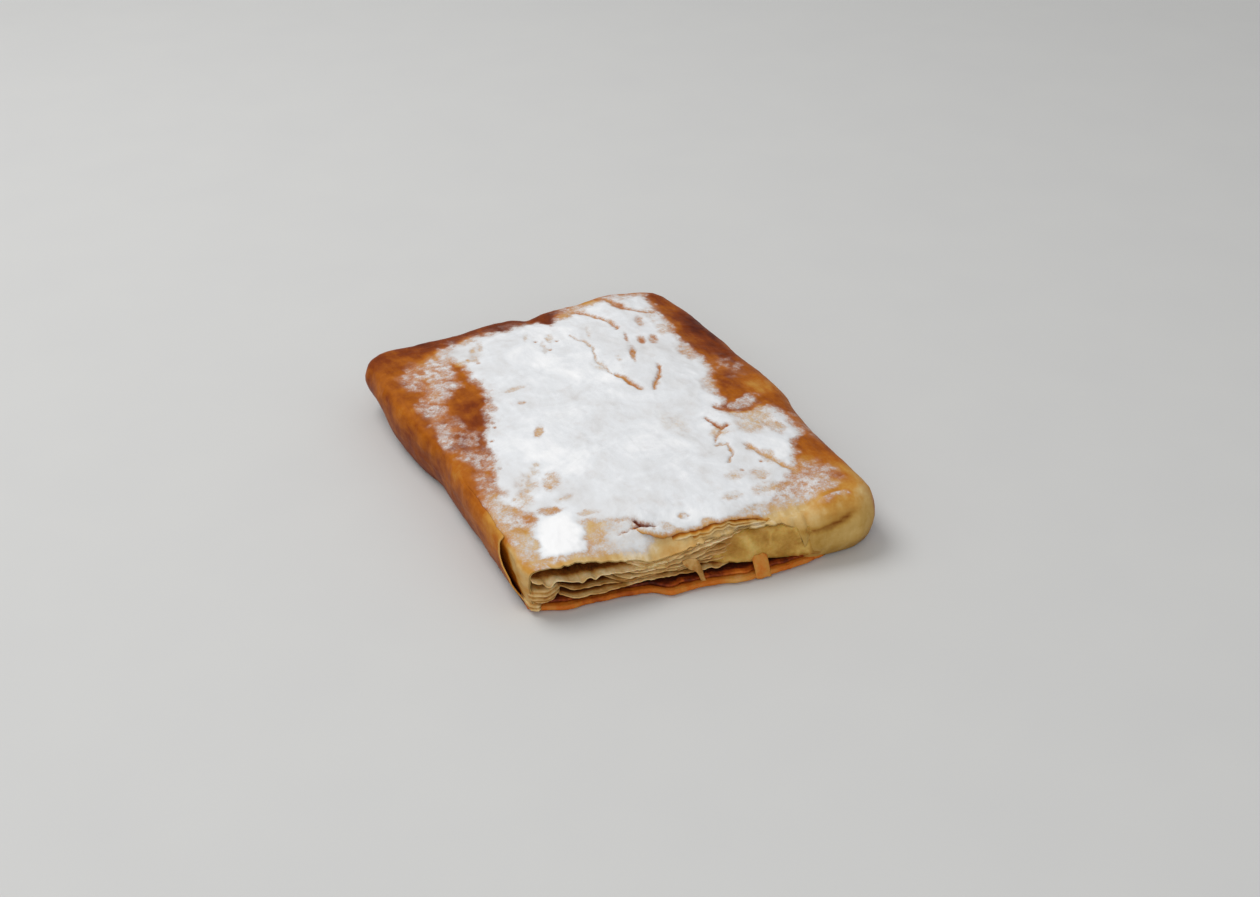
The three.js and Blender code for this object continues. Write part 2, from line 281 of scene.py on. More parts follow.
# Outline of the thickly sugared field of the top sheet.
SUGAR_FIELD = [
    (-37, 62), (-30, 64), (-24, 65), (-12, 66.5), (-2, 67.5), (2.5, 67), (6.5, 62.5), (10.5, 67), (16, 67.5),
    (24, 70.5), (30, 72), (39, 72), (44, 69), (45.5, 60), (45, 50), (44, 43), (42.5, 37), (43, 30),
    (43.5, 20), (42.5, 11), (41, 3), (38, -5), (36, -12), (32, -17), (35, -22), (44, -23), (50, -21),
    (52, -30), (50, -42), (45, -46), (44, -52), (41, -57), (37, -61), (33, -64), (26, -68), (20, -76),
    (12, -84), (-14, -84), (-18, -72), (-22, -64), (-30, -60), (-34.5, -56), (-36, -63), (-41.5, -73.5),
    (-46.5, -75), (-53.5, -70.5), (-52.5, -61), (-48.5, -52), (-49, -44), (-54, -40), (-52, -34), (-50, -24),
    (-48, -17), (-46, -10), (-44, -2), (-41, 5), (-37, 12), (-34, 20), (-32.5, 26), (-31.5, 33), (-34.5, 38),
    (-32.5, 42), (-36, 50), (-38, 55),
]
FIELD_EDGE = (-3.6 * MM, 3 * MM)  # distances inside the outline between which its cover rises

# Each patch below is an ellipse: its middle along X and Y, its half sizes and its turn.

# Thinly dusted, speckled places outside the field: ellipse, cover.
SPECKLED_PATCHES = [
    (-51, 45, 6, 10, -15, 0.34), (-43, 47, 5, 9, -12, 0.5), (-44, 36, 5, 4, 0, 0.6), (-49, 33, 5, 6, 0, 0.4),
    (-54, 24, 4, 11, -6, 0.4), (-56, 6, 3.5, 12, -4, 0.42), (-51, 10, 3, 6, -10, 0.26),
    (-50, 0, 5, 6, 0, 0.24), (-54, -12, 3.5, 8, 0, 0.36), (-49.5, -12, 3.5, 9, -12, 0.34),
    (-54, -29, 4.5, 11, 0, 0.36), (-57, -44, 5, 11, 0, 0.52), (-49, -50, 6, 7, 0, 0.62),
    (-57, -62, 5, 9, 0, 0.52), (-47, -79, 12, 9, 0, 0.48), (42, -17, 7, 3, 12, 0.6),
    (33, -73, 13, 8, 12, 0.58), (41, -66, 8, 8, 0, 0.4), (44, -77, 5, 4, 0, 0.24), (45, 62, 3, 9, 0, 0.42),
    (-28, 66, 7, 3, 0, 0.16), (-13, 69, 10, 2.5, 0, 0.14), (18, 70, 8, 3, 0, 0.42),
    (36, 73.5, 8, 2.4, 0, 0.4), (-26, -73, 11, 12, 0, 0.86), (55, -38, 3, 10, 0, 0.25),
    (50, 8, 5, 8, 0, 0.2),
]

COMMON_BAKE = 0.58
# How brown the sheet is elsewhere: ellipse, browning there.
BAKED_PATCHES = [
    (-70, 20, 8, 70, 0, 0.66), (-62, 64, 10, 12, 0, 0.78), (-45, 67, 12, 6, 0, 0.84),
    (-58, 30, 6, 22, -6, 0.66), (-42, 22, 6, 15, -14, 0.78), (-45, 6, 6, 11, -16, 0.74),
    (-50, -6, 5, 10, -10, 0.74), (-54, 0, 3, 3, 0, 0.84), (-53, -26, 5, 12, -8, 0.6),
    (-56, -46, 7, 12, 0, 0.4), (-56, -66, 9, 10, 0, 0.32), (-45, -80, 14, 6, 0, 0.24),
    (-35, -66, 5, 12, 12, 0.3), (-5, -82, 16, 9, 0, 0.26), (20, -82, 16, 8, 0, 0.22),
    (-26, -75, 9, 14, 0, 0.04), (6.5, 69, 5, 5, 0, 0.86), (-20, 71, 26, 5, 0, 0.86),
    (32, 75, 18, 3, 0, 0.62), (51, 64, 6, 10, 0, 0.72), (54, 38, 5.5, 16, 0, 0.98), (47, 27, 6, 10, 0, 0.78),
    (54, 12, 6, 12, 0, 0.8), (46, -2, 7, 12, -10, 0.7), (55, -10, 5, 10, 0, 0.56), (38, -17, 8, 4, 0, 0.68),
    (56, -34, 5, 18, 0, 0.7), (49, -52, 7, 7, 40, 0.74), (46, -46, 3, 3, 0, 0.66), (46, -70, 13, 14, 0, 0.5),
    (50, -72, 3, 6, 20, 0.74), (48, -80, 1.6, 2, 0, 0.9), (54, -82, 10, 12, 0, 0.3),
]

# Places inside the field where the sheet shows: ellipse, cover, browning.
BARE_PATCHES = [
    (-35, -34, 2.6, 5, -28, 0.52, 0.3), (-43, -33, 3.4, 5, -10, 0.66, 0.3), (-39, -28, 3, 2, 0, 0.66, 0.25),
    (-36, -24, 2.6, 2.4, 0, 0.72, 0.25), (-47, -40, 3, 3.6, -10, 0.64, 0.3),
    (-42, -49.5, 4.2, 2.2, -6, 0.42, 0.42), (-50.5, -51, 2.4, 2.6, 0, 0.3, 0.52),
    (-54, -44, 2.6, 3, 0, 0.42, 0.36), (-32, -55, 3.4, 1.3, -14, 0.45, 0.26),
    (-35, -45, 3, 1.4, 10, 0.66, 0.25), (-34, -66, 2.4, 7, -12, 0.34, 0.32), (-29, -64, 3, 4, 0, 0.78, 0.16),
    (-27, -5.5, 1.5, 3.8, -28, 0.42, 0.34), (-35.5, 17, 1.8, 4, 12, 0.45, 0.5),
    (-36.5, 34, 2.6, 3.4, 10, 0.5, 0.58), (-27, 53, 1.6, 6, -18, 0.62, 0.3),
    (-23.5, 57, 1.1, 4, -12, 0.72, 0.3), (-32, 49, 3, 1.2, 12, 0.68, 0.3), (-24, 24, 4, 1.4, 6, 0.66, 0.22),
    (-25, 14, 1.6, 1.5, 0, 0.45, 0.46), (-36, 60, 4, 3, 0, 0.66, 0.45), (-27, 63, 4, 2.2, 10, 0.6, 0.4),
    (-3, 46, 1, 5, -16, 0.74, 0.25), (1.5, 52, 1.4, 3.4, -10, 0.66, 0.3), (-6, 57, 1, 4, -20, 0.78, 0.2),
    (13.5, 66.5, 4, 2.6, 0, 0.42, 0.46), (20, 68, 3, 4, 0, 0.6, 0.4), (34, 66, 2.4, 4.5, 12, 0.36, 0.58),
    (39, 70, 3, 3, 0, 0.66, 0.45), (27, 71, 3, 2.4, 0, 0.66, 0.4), (36, 50, 1.6, 4, -14, 0.5, 0.5),
    (42, 52, 2.4, 7, -8, 0.74, 0.4), (41, 41, 2.4, 4, -14, 0.66, 0.42), (30.5, 37, 1.4, 3, -12, 0.34, 0.6),
    (35, 36, 1.5, 3.4, -16, 0.4, 0.56), (26.5, 41, 0.9, 4, -14, 0.3, 0.56),
    (23.8, 29.5, 1.2, 4.4, -14, 0.22, 0.56), (18, 29, 1, 2.4, -16, 0.68, 0.35),
    (9.5, 26, 2.4, 4, 0, 0.7, 0.26), (16, 50, 1, 4, -16, 0.78, 0.25), (41.5, 23, 2.4, 6, -8, 0.5, 0.5),
    (38, -2, 3, 5, -14, 0.66, 0.4), (39, -29, 5, 6.5, -30, 0.52, 0.22), (45, -35, 3, 5, 0, 0.6, 0.3),
    (46, -27, 4, 4, 0, 0.56, 0.28), (27, -30, 3.4, 4.4, -30, 0.66, 0.2), (15, -20, 4, 7, 0, 0.82, 0.15),
    (30.5, -43, 1.2, 2.4, -20, 0.45, 0.34), (34, -50, 2, 5, -20, 0.7, 0.3), (47, -47, 2, 2.6, 0, 0.3, 0.62),
    (18, -56, 3, 2.4, 20, 0.72, 0.25), (26, -58, 4, 3, 20, 0.66, 0.3), (24, -67, 5, 3.4, 14, 0.6, 0.3),
    (12, -66, 3.4, 2, 20, 0.7, 0.28), (14, -76, 6, 3, 10, 0.6, 0.26),
    (-6.5, -69.5, 1.6, 2.4, -20, 0.5, 0.36), (-1, -75, 2.4, 1.6, 0, 0.62, 0.3),
    (-13, -73, 2, 4, 20, 0.6, 0.26),
]

# Where the sugar lies thickest: ellipse, more cover.
THICK_PATCHES = [
    (-44.3, -62.5, 7.5, 11.5, -17, 0.45), (-8, -69, 5, 5, 0, 0.2), (5, 20, 9, 22, 0, 0.12),
    (-14, 40, 10, 14, 0, 0.12), (40, -48, 6, 7, 20, 0.16), (-30, -16, 9, 14, -12, 0.16),
]

# Small dark pits in the sugar, mostly along its left border.
PITS = [
    (-38.5, 15.7), (-38.2, 12.2), (-38.6, 9.8), (-38.4, 6.6), (-39, 3.6), (-43, -3.8), (-45.4, -7.7),
    (-45.8, -11.6), (-46.6, -15.6), (-47, -20.4), (-42.4, -33.5), (-44, -36), (-37, -37.5), (-1.6, 44),
    (3, 49), (-4, 52), (-30.5, 50), (-28, 46), (18, -56), (22, -54), (26, -61), (30, -52),
]
PIT_RADIUS = 0.7
PIT_COVER = 0.3

# Cracks, folds, tears and a painted shadow: points, half width, cover, browning, depth.
LINES = [
    ([(3.5, 70.5), (5.5, 67), (6.6, 65.5), (8.5, 70)], 1.9, 0.05, 0.9, 0.8),
    ([(17, 68), (21, 63.5), (25, 59), (27, 54.5), (26.5, 49)], 1.0, 0.2, 0.52, 0.45),
    ([(31, 75), (33.5, 69), (35.5, 62.5), (39.5, 57.5), (44, 55)], 1.0, 0.18, 0.54, 0.45),
    ([(8.5, 51), (11.5, 45), (12.5, 39), (10, 30), (11, 20)], 0.5, 0.45, 0.36, 0.3),
    ([(12.3, 18.5), (13.6, 13.5), (15.4, 7)], 1.1, 0.08, 0.5, 0.6),
    ([(28.5, 18.5), (25.6, 12.6), (22.5, 8), (20.2, 4)], 0.8, 0.15, 0.5, 0.45),
    ([(25.8, -21), (27.5, -25), (28.4, -28.6), (31, -27.2)], 0.75, 0.08, 0.62, 0.6),
    ([(28.4, -28.6), (25, -31.5), (22.6, -35)], 0.6, 0.3, 0.5, 0.4),
    ([(21.5, -37.2), (25.2, -38), (24, -43), (20.5, -48)], 0.55, 0.3, 0.36, 0.45),
    ([(30.5, -41), (33, -49), (36, -57), (38, -61)], 1.2, 0.22, 0.4, 0.55),
    ([(32.5, -15.5), (36, -19.5), (43, -20.5), (49, -18), (55, -17)], 1.2, 0.12, 0.66, 0.45),
    ([(36, -22), (41, -26), (44, -33)], 1.2, 0.5, 0.3, 0.3),
    # These two lines are painted shadow under the lifted left end of the upper flap: dark and bare of sugar.
    ([(-20.6, -64.8), (-20.2, -68), (-17.4, -70)], 1.15, 0.0, 1.0, 1.2),
    ([(-22.6, -68.6), (-20, -68.4)], 1.0, 0.0, 0.98, 1.1),
    ([(-29, -69.6), (-26, -69.6), (-22.6, -68.4)], 0.45, 0.1, 0.8, 0.6),
]


def sugar_cover(x, y, rough, fine):
    """Cover of icing sugar of the field and the patches, at a place and its two ragged copies."""
    cover = smooth(inside_distance(*rough, SUGAR_FIELD), *FIELD_EDGE)
    for *ellipse, amount in SPECKLED_PATCHES:
        cover = np.maximum(cover, amount * patch(*rough, ellipse, 0.6))
    for *ellipse, amount, _ in BARE_PATCHES:
        cover = mix(cover, np.minimum(cover, amount), patch(*fine, ellipse, 0.55))
    crumbs = smooth(noise(x, y, 0, 2.1 * MM, 7) + 0.5 * noise(x, y, 0, 1.2 * MM, 19), -0.1, 0.7)
    streaks = noise(x + 0.3 * y, 0.45 * (y - 0.3 * x), 0, 2.6 * MM, 9)
    cover = cover + 4 * cover * (1 - cover) * (0.3 * (crumbs - 0.36) + 0.12 * streaks)
    return cover - 0.1 * smooth(streaks + 0.5 * crumbs, 0.4, 1.1)


def sheet_bake(x, y, rough, fine):
    """Browning of the sheet under the sugar."""
    bake = COMMON_BAKE
    for *ellipse, amount in BAKED_PATCHES:
        bake = mix(bake, amount, patch(*rough, ellipse, 0.8))
    for *ellipse, _, amount in BARE_PATCHES:
        bake = mix(bake, amount, patch(*fine, ellipse, 0.7))
    return bake + 0.1 * clouds(x, y, 0, 9 * MM, 3)


def top_looks(x, y, z):
    """Sugar cover, browning with some painted shadow, and carved depth (m) of places on the top sheet."""
    x = x + SIGHT_LEAN[0] * (z - MARK_LEVEL)
    y = y + SIGHT_LEAN[1] * (z - MARK_LEVEL)
    rough = waver(x, y, 3 * MM, 7 * MM, 11)
    fine = waver(x, y, 1 * MM, 2.6 * MM, 31)
    cover = sugar_cover(x, y, rough, fine)
    bake = sheet_bake(x, y, rough, fine)
    depth = 0
    for points, half_width, amount, brown, deep in LINES:
        near = hump(distance_to_line(*fine, points), 0, half_width * MM)
        cover = mix(cover, np.minimum(cover, amount), near)
        bake = mix(bake, brown, np.minimum(1, 1.4 * near))
        depth = depth + deep * MM * near
    for place in PITS:
        near = patch(x, y, (*place, PIT_RADIUS, PIT_RADIUS, 0), 0.6)
        cover = mix(cover, np.minimum(cover, PIT_COVER), near)
    for *ellipse, more in THICK_PATCHES:
        cover = cover + more * patch(*rough, ellipse, 0.6) * smooth(cover, 0.5, 0.9)
    return np.clip(cover, 0, 1.5), np.clip(bake, 0, 1), depth


# ---- relief shared by the wrap and what lies on it -------------------------------------

SUGAR_DEPTH = 0.35 * MM


def sugar_relief(x, y, cover):
    """Height of the sugar over the sheet, uneven like sifted powder."""
    lumps = 1 + 0.7 * clouds(x, y, 0, 6 * MM, 201, 2) + 0.22 * clouds(x, y, 0, 1.6 * MM, 203, 2)
    return SUGAR_DEPTH * lumps * cover


# Height of the top sheet's front edge, which droops over the hollows: x and z.
edge_droop = through([
    (-60, 17.6), (-52, 17.2), (-44, 17.3), (-38, 16.3), (-32, 15.2), (-25, 13.8), (-18, 11.8), (-12, 12.6),
    (-5, 14.4), (2, 16.2), (9, 17.6), (20, 17.6), (30, 17.2), (40, 17), (50, 17), (60, 17),
])
DROOP_LENGTH = 15 * MM
RAGGED_LENGTH = 6 * MM  # how far behind the front edge its raggedness dies out


def relief(x, y, z):
    """Soft lumps and creases of baked phyllo, in metres."""
    lumps = 0.34 * MM * clouds(x, y, z, 19 * MM, 41, 2)
    dents = 0.1 * MM * clouds(x, y, z, 5 * MM, 43, 3)
    tx, ty = waver(x, y, 5 * MM, 16 * MM, 47)
    creases = 0.2 * MM * (ridges(tx * 1.6, ty * 0.55, z, 9 * MM, 53) - 0.3)
    fine = 0.1 * MM * (ridges(tx * 0.6, ty * 1.5, z, 4.5 * MM, 59) - 0.3)
    return lumps + dents + creases + fine


def front_distance(u, v):
    """How far behind the open end a point of the top sheet is."""
    return top_plan(u, v)[1] - top_plan(u, np.full_like(v, -1.0))[1]


def wrap_top(u, v):
    """Points of the top of the wrap, in the frame of the model."""
    x, y = top_plan(u, v)
    z = top_height(u, v)
    behind = front_distance(u, v)
    drop = np.maximum(0, top_height(u, -np.ones_like(v)) - edge_droop((x + SHIFT_X) / MM) * MM)
    fall = np.clip(1 - behind / DROOP_LENGTH, 0, 1) ** 1.6
    corner = 1 - smooth(u, 0.62, 0.8)
    z = z - drop * fall * corner
    ragged = 0.9 * MM * clouds(x, 0, 0, 5 * MM, 61) + 0.5 * MM * noise(x, 0, 0, 1.3 * MM, 67)
    y = y + ragged * np.clip(1 - behind / RAGGED_LENGTH, 0, 1) * corner
    return x + SHIFT_X, y + SHIFT_Y, z


# ---- meshes ----------------------------------------------------------------------------


def add_object(name, data):
    thing = bpy.data.objects.new(name, data)
    bpy.context.scene.collection.objects.link(thing)
    return thing


class Shape:
    """Collects the points, faces and masks of one closed mesh.

    The masks are the browning and painted shade (0 pale to 1 dark brown), dust (cover of icing sugar) and
    inside (soft, unbaked, which only the crust's material reads).
    """

    MASKS = ("bake", "dust", "inside")

    def __init__(self):
        self.points = []
        self.faces = []
        self.masks = {mask: [] for mask in self.MASKS}
        self.count = 0

    def add(self, x, y, z, **masks):
        """Adds an array of points and gives their numbers in the same arrangement."""
        x, y, z = np.broadcast_arrays(x, y, z)
        self.points.append(np.stack([x, y, z], -1).reshape(-1, 3))
        for mask, values in self.masks.items():
            values.append(np.broadcast_to(masks.get(mask, 0.0), x.shape).ravel())
        numbers = np.arange(self.count, self.count + x.size).reshape(x.shape)
        self.count += x.size
        return numbers

    def skin(self, numbers, flip=False):
        """Quads over a grid of point numbers."""
        a, b = numbers[:-1, :-1], numbers[:-1, 1:]
        d, c = numbers[1:, :-1], numbers[1:, 1:]
        order = (a, d, c, b) if flip else (a, b, c, d)
        self.faces.extend(np.stack(order, -1).reshape(-1, 4).tolist())

    def lid(self, loop, flip=False):
        loop = [int(n) for n in loop]
        self.faces.append(loop[::-1] if flip else loop)

    def sheet(self, x, y, z, thickness, **masks):
        """A closed thin sheet round a middle surface, with rounded edges."""
        middle = padded_edge(np.stack(np.broadcast_arrays(x, y, z), -1), 0.5 * thickness)
        normal = np.cross(np.gradient(middle, axis=1), np.gradient(middle, axis=0))
        normal /= np.maximum(np.linalg.norm(normal, axis=-1, keepdims=True), 1e-12)
        masks = {mask: np.pad(np.broadcast_to(m, np.shape(x)), 1, mode="edge") for mask, m in masks.items()}
        upper = self.add(*np.moveaxis(middle + normal * thickness / 2, -1, 0), **masks)
        within = (slice(1, -1), slice(1, -1))
        lower_points = np.moveaxis((middle - normal * thickness / 2)[within], -1, 0)
        lower = upper.copy()
        lower[within] = self.add(*lower_points, **{mask: m[within] for mask, m in masks.items()})
        rim = np.ones(upper.shape, bool)
        rim[within] = False
        points = self.all_points()
        points[upper[rim]] = middle[rim]
        self.points = [points]
        self.skin(upper, flip=True)
        self.skin(lower)

    def all_points(self):
        return np.concatenate(self.points)

    def settle(self, name, material, slot, *nodes):
        """Makes the piece, which rides on the one body and takes the given material; its slot is not used."""
        mesh = bpy.data.meshes.new(name)
        mesh.from_pydata(self.all_points().tolist(), [], self.faces)
        for mask, values in self.masks.items():
            layer = mesh.attributes.new(mask, "FLOAT", "POINT")
            layer.data.foreach_set("value", np.concatenate(values).astype(np.float32))
        mesh.polygons.foreach_set("use_smooth", [True] * len(mesh.polygons))
        mesh.update()
        mesh.materials.append(material)
        piece = add_object(name, mesh)
        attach(piece, "root")
        if nodes:
            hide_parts(*nodes)


def make_sheet(name, material, slot, x, y, z, thickness, **masks):
    """A thin sheet as a piece of its own."""
    shape = Shape()
    shape.sheet(x, y, z, thickness, **masks)
    shape.settle(name, material, slot)


def padded_edge(grid, reach):
    """A grid of points with one more row or column past each side, a short reach further out."""
    for axis in (0, 1):
        grid = np.moveaxis(grid, axis, 0)
        ends = []
        for edge, neighbour in ((grid[0], grid[1]), (grid[-1], grid[-2])):
            out = edge - neighbour
            ends.append(edge + reach * out / np.maximum(np.linalg.norm(out, axis=-1, keepdims=True), 1e-12))
        grid = np.concatenate([ends[0][None], grid, ends[1][None]])
        grid = np.moveaxis(grid, 0, axis)
    return grid


# ---- materials -------------------------------------------------------------------------


def linear(colour):
    """Linear light from 0 to 255 screen colour."""
    parts = np.array(colour, float) / 255
    return tuple(np.where(parts <= 0.04045, parts / 12.92, ((parts + 0.055) / 1.055) ** 2.4))


class Nodes:
    """A short way to lay out a material's nodes."""

    def __init__(self, name):
        self.material = bpy.data.materials.new(name)
        self.material.use_nodes = True
        self.tree = self.material.node_tree
        self.shader = self.tree.nodes["Principled BSDF"]
        self.place = self.add("TexCoord", "Object", {})

    def link(self, value, socket):
        if isinstance(value, bpy.types.NodeSocket):
            self.tree.links.new(value, socket)
        else:
            socket.default_value = value

    def add(self, kind, output, inputs, **settings):
        """Adds a node with its settings and inputs, and gives one of its outputs."""
        node = self.tree.nodes.new("ShaderNode" + kind)
        for name, value in settings.items():
            setattr(node, name, value)
        for name, value in inputs.items():
            self.link(value, node.inputs[name])
        return node.outputs[output]

    def mask(self, name):
        return self.add("Attribute", "Fac", {}, attribute_name=name)

    def noise(self, size, detail, roughness=0.55, distortion=0.0, vector=None):
        """Noise with features about size across, in metres."""
        shape = {"Scale": 1 / size, "Detail": detail, "Roughness": roughness, "Distortion": distortion}
        return self.add("TexNoise", "Fac", {"Vector": vector or self.place, **shape})

    def plus(self, a, b, clamp=False):
        return self.add("Math", 0, {0: a, 1: b}, use_clamp=clamp)

    def times(self, a, b):
        return self.add("Math", 0, {0: a, 1: b}, operation="MULTIPLY")

    def swing(self, value, middle, strength):
        """How far a value is from its middle, made stronger or weaker."""
        return self.times(self.plus(value, -middle), strength)

    def uneven_tone(self, *noises):
        """The mesh's browning and painted shade, changed by noises that each come with a strength."""
        changes = [self.swing(value, 0.5, strength) for value, strength in noises]
        return self.plus(self.mask("bake"), reduce(self.plus, changes), clamp=True)

    def level(self, value, low, high, to_low=0.0, to_high=1.0):
        """A soft step from to_low, where the value is low, to to_high."""
        ends = {"From Min": low, "From Max": high, "To Min": to_low, "To Max": to_high}
        return self.add("MapRange", "Result", {"Value": value, **ends}, interpolation_type="SMOOTHSTEP")

    def ramp(self, value, stops):
        ramp = self.add("ValToRGB", "Color", {"Fac": value})
        elements = ramp.node.color_ramp.elements
        while len(elements) < len(stops):
            elements.new(0.5)
        for element, (at, colour) in zip(elements, stops):
            element.position = at
            element.color = (*linear(colour), 1)
        return ramp

    def blend(self, share, a, b):
        a, b = (c if isinstance(c, bpy.types.NodeSocket) else (*linear(c), 1) for c in (a, b))
        return self.add("Mix", "Result", {"Factor": share, "A": a, "B": b}, data_type="RGBA")

    def bump(self, size, detail, distance, strength, under=None):
        """A fine relief of noise, on top of another one if that is given."""
        inputs = {"Height": self.noise(size, detail), "Distance": distance, "Strength": strength}
        if under is not None:
            inputs["Normal"] = under
        return self.add("Bump", "Normal", inputs)

    def finish(self, **inputs):
        for name, value in inputs.items():
            self.link(value, self.shader.inputs[name.replace("_", " ")])
        return self.material


# Colour stops run from pale to dark, over browning and painted shade; the sugar's stops run from grey painted
# shade to white.
BAKE_STOPS = [
    (0.0, (237, 225, 200)), (0.2, (210, 178, 120)), (0.4, (194, 138, 58)), (0.6, (172, 95, 14)),
    (0.8, (126, 54, 3)), (1.0, (82, 26, 2)),
]
# Sheets that stayed soft and pale against the filling.
SOFT_STOPS = [
    (0.0, (226, 204, 150)), (0.3, (200, 166, 100)), (0.55, (178, 138, 66)), (0.8, (128, 78, 24)),
    (1.0, (84, 36, 6)),
]
LEAF_STOPS = [
    (0.0, (236, 212, 168)), (0.25, (212, 176, 116)), (0.5, (180, 130, 64)), (0.75, (132, 76, 24)),
    (1.0, (78, 36, 8)),
]
LIP_STOPS = [
    (0.0, (216, 168, 110)), (0.3, (200, 140, 62)), (0.55, (196, 106, 26)), (0.75, (158, 70, 12)),
    (0.88, (108, 38, 8)), (1.0, (62, 20, 6)),
]
CUSTARD_STOPS = [(0.0, (214, 180, 100)), (0.4, (192, 148, 66)), (0.7, (164, 114, 38)), (1.0, (136, 84, 20))]
# The grey low end of the sugar's stops is painted shade.
SUGAR_STOPS = [
    (0.0, (203, 201, 201)), (0.3, (219, 220, 221)), (0.6, (229, 232, 235)), (1.0, (250, 251, 252)),
]
THIN_SUGAR = (204, 178, 160)  # damp sugar that lets the crust through


def sugar_film(nodes, dust):
    """How fully the sugar hides the crust: in specks where it lies thinly."""
    grains = nodes.plus(nodes.noise(1.5 * MM, 1.5, 0.6), nodes.noise(0.6 * MM, 1))
    partial = nodes.times(nodes.level(dust, 0.02, 0.4), nodes.level(dust, 0.5, 1.0, 1.0, 0.16))
    film = nodes.plus(dust, nodes.times(nodes.swing(grains, 1.0, 1.2), partial))
    return nodes.level(film, 0.0, 1.0, 0.0, 0.96)


def sugar_shade(nodes, dust, streaks):
    """Greyer and whiter patches of the sugar where it covers the crust, in drifts and streaks: painted shade
    of its soft relief.
    """
    drifts = nodes.times(nodes.noise(17 * MM, 5, 0.62, distortion=0.6), 1.5)
    thickness = nodes.plus(nodes.plus(dust, -1.34), drifts)
    return nodes.plus(thickness, nodes.times(streaks, 0.3), clamp=True)


def crust_material():
    """Baked phyllo with icing sugar on it."""
    nodes = Nodes("baked_phyllo")
    stretched = nodes.add("Mapping", "Vector", {"Vector": nodes.place, "Scale": (1.4, 0.6, 1.1)})
    streaks = nodes.noise(2.8 * MM, 3, 0.5, vector=stretched)
    bake = nodes.uneven_tone((nodes.noise(7 * MM, 3), 0.36), (streaks, 0.24), (nodes.noise(0.8 * MM, 2), 0.1))
    crust = nodes.blend(nodes.mask("inside"), nodes.ramp(bake, BAKE_STOPS), nodes.ramp(bake, SOFT_STOPS))
    dust = nodes.mask("dust")
    film = sugar_film(nodes, dust)
    veiled = nodes.blend(nodes.level(dust, 0.04, 0.6, 0.0, 0.55), crust, THIN_SUGAR)
    sugar = nodes.ramp(sugar_shade(nodes, dust, streaks), SUGAR_STOPS)
    blisters = nodes.bump(1.6 * MM, 4, 0.22 * MM, 0.6)
    return nodes.finish(
        Base_Color=nodes.blend(film, veiled, sugar),
        Roughness=nodes.level(film, 0, 0.6, 0.48, 0.95),
        Specular_IOR_Level=nodes.level(film, 0, 0.6, 0.08, 0.04),
        Normal=nodes.bump(0.35 * MM, 3, 0.05 * MM, 0.5, blisters),
    )


def sheet_material(name, stops):
    """Bare phyllo without sugar, coloured from pale to dark by the stops."""
    nodes = Nodes(name)
    grain = nodes.noise(0.9 * MM, 2)
    return nodes.finish(
        Base_Color=nodes.ramp(nodes.uneven_tone((nodes.noise(4 * MM, 3), 0.4), (grain, 0.24)), stops),
        Roughness=nodes.level(grain, 0.3, 0.7, 0.5, 0.75),
        Specular_IOR_Level=0.2,
        Subsurface_Weight=0.15,
        Subsurface_Scale=1.5 * MM,
        Normal=nodes.bump(1.3 * MM, 4, 0.2 * MM, 0.8),
    )


def custard_material():
    nodes = Nodes("baked_custard")
    grain = nodes.noise(1.1 * MM, 3)
    tone = nodes.uneven_tone((nodes.noise(5 * MM, 3), 0.5), (grain, 0.5))
    return nodes.finish(
        Base_Color=nodes.ramp(tone, CUSTARD_STOPS),
        Roughness=nodes.level(grain, 0.3, 0.7, 0.4, 0.65),
        Specular_IOR_Level=0.3,
        Subsurface_Weight=0.25,
        Subsurface_Scale=2.5 * MM,
        Normal=nodes.bump(1.5 * MM, 4, 0.2 * MM, 0.7),
    )


CRUST = crust_material()
INNER_PHYLLO = sheet_material("inner_phyllo", LEAF_STOPS)
BROWNED_BOTTOM = sheet_material("browned_bottom_phyllo", LIP_STOPS)
BROWNED_FLAP = sheet_material("browned_flap_phyllo", LIP_STOPS)
CUSTARD = custard_material()

# ---- outer wrap ------------------------------------------------------------------------

UPPER_PART = 0.62  # share of a flank's rings that lie between its shoulder and its belly
FOOT_HEIGHT = 0.7 * MM
WALL = 0.7 * MM  # thickness of the wrap at its open end
SEEN_LEVEL = 19 * MM  # away from the left flank, no mark is placed as if it lay below this
BESIDE_MOUTH = 2.0  # given as the share across for columns that aren't over the mouth


def flank_profile(t, shoulder_height, squareness):
    """Outward reach and height of a flank, from t = 0 at the shoulder to t = 1 at the foot."""
    power = mix(1, SQUARE_POWER, squareness)
    high = np.minimum(t / UPPER_PART, 1)
    high, left_over = high ** (1 / power), (1 - high) ** (1 / power)
    high = high / (high + left_over) * math.pi / 2
    low = np.clip((t - UPPER_PART) / (1 - UPPER_PART), 0, 1) * math.pi / 2
    reach = SHOULDER * np.sin(high) ** power - FOOT_INSET * (1 - np.cos(low))
    z_high = BELLY_HEIGHT + (shoulder_height - BELLY_HEIGHT) * np.maximum(np.cos(high), 0) ** power
    z_low = BELLY_HEIGHT * (1 - np.sin(low))
    return reach, np.where(t <= UPPER_PART, z_high, z_low)


# Where the torn outer skin of the left flank ends: height, place along Y.
slit = through([
    (0, -66.5), (2.5, -64.4), (4.4, -62.3), (6.3, -60.8), (8.5, -58.8), (9.7, -56.3), (11.4, -53.7),
    (13, -52), (16.6, -50.8), (20, -50.5),
])
# How much further in the foot of the left flank stands than that of the others: place along Y.
left_tuck = through([
    (-76, 1.2), (-60, 1.9), (-48, 1.9), (-40, 1.6), (-30, 1.7), (-22, 1.2), (-12, 0.6), (0, 1), (8, 1.6),
    (20, 1.2), (32, 1), (40, 1.3), (52, 2.8), (62, 4), (75, 5),
])
FRONT_TUCK = 1.6
BACK_CORNER_TUCK = 4.5

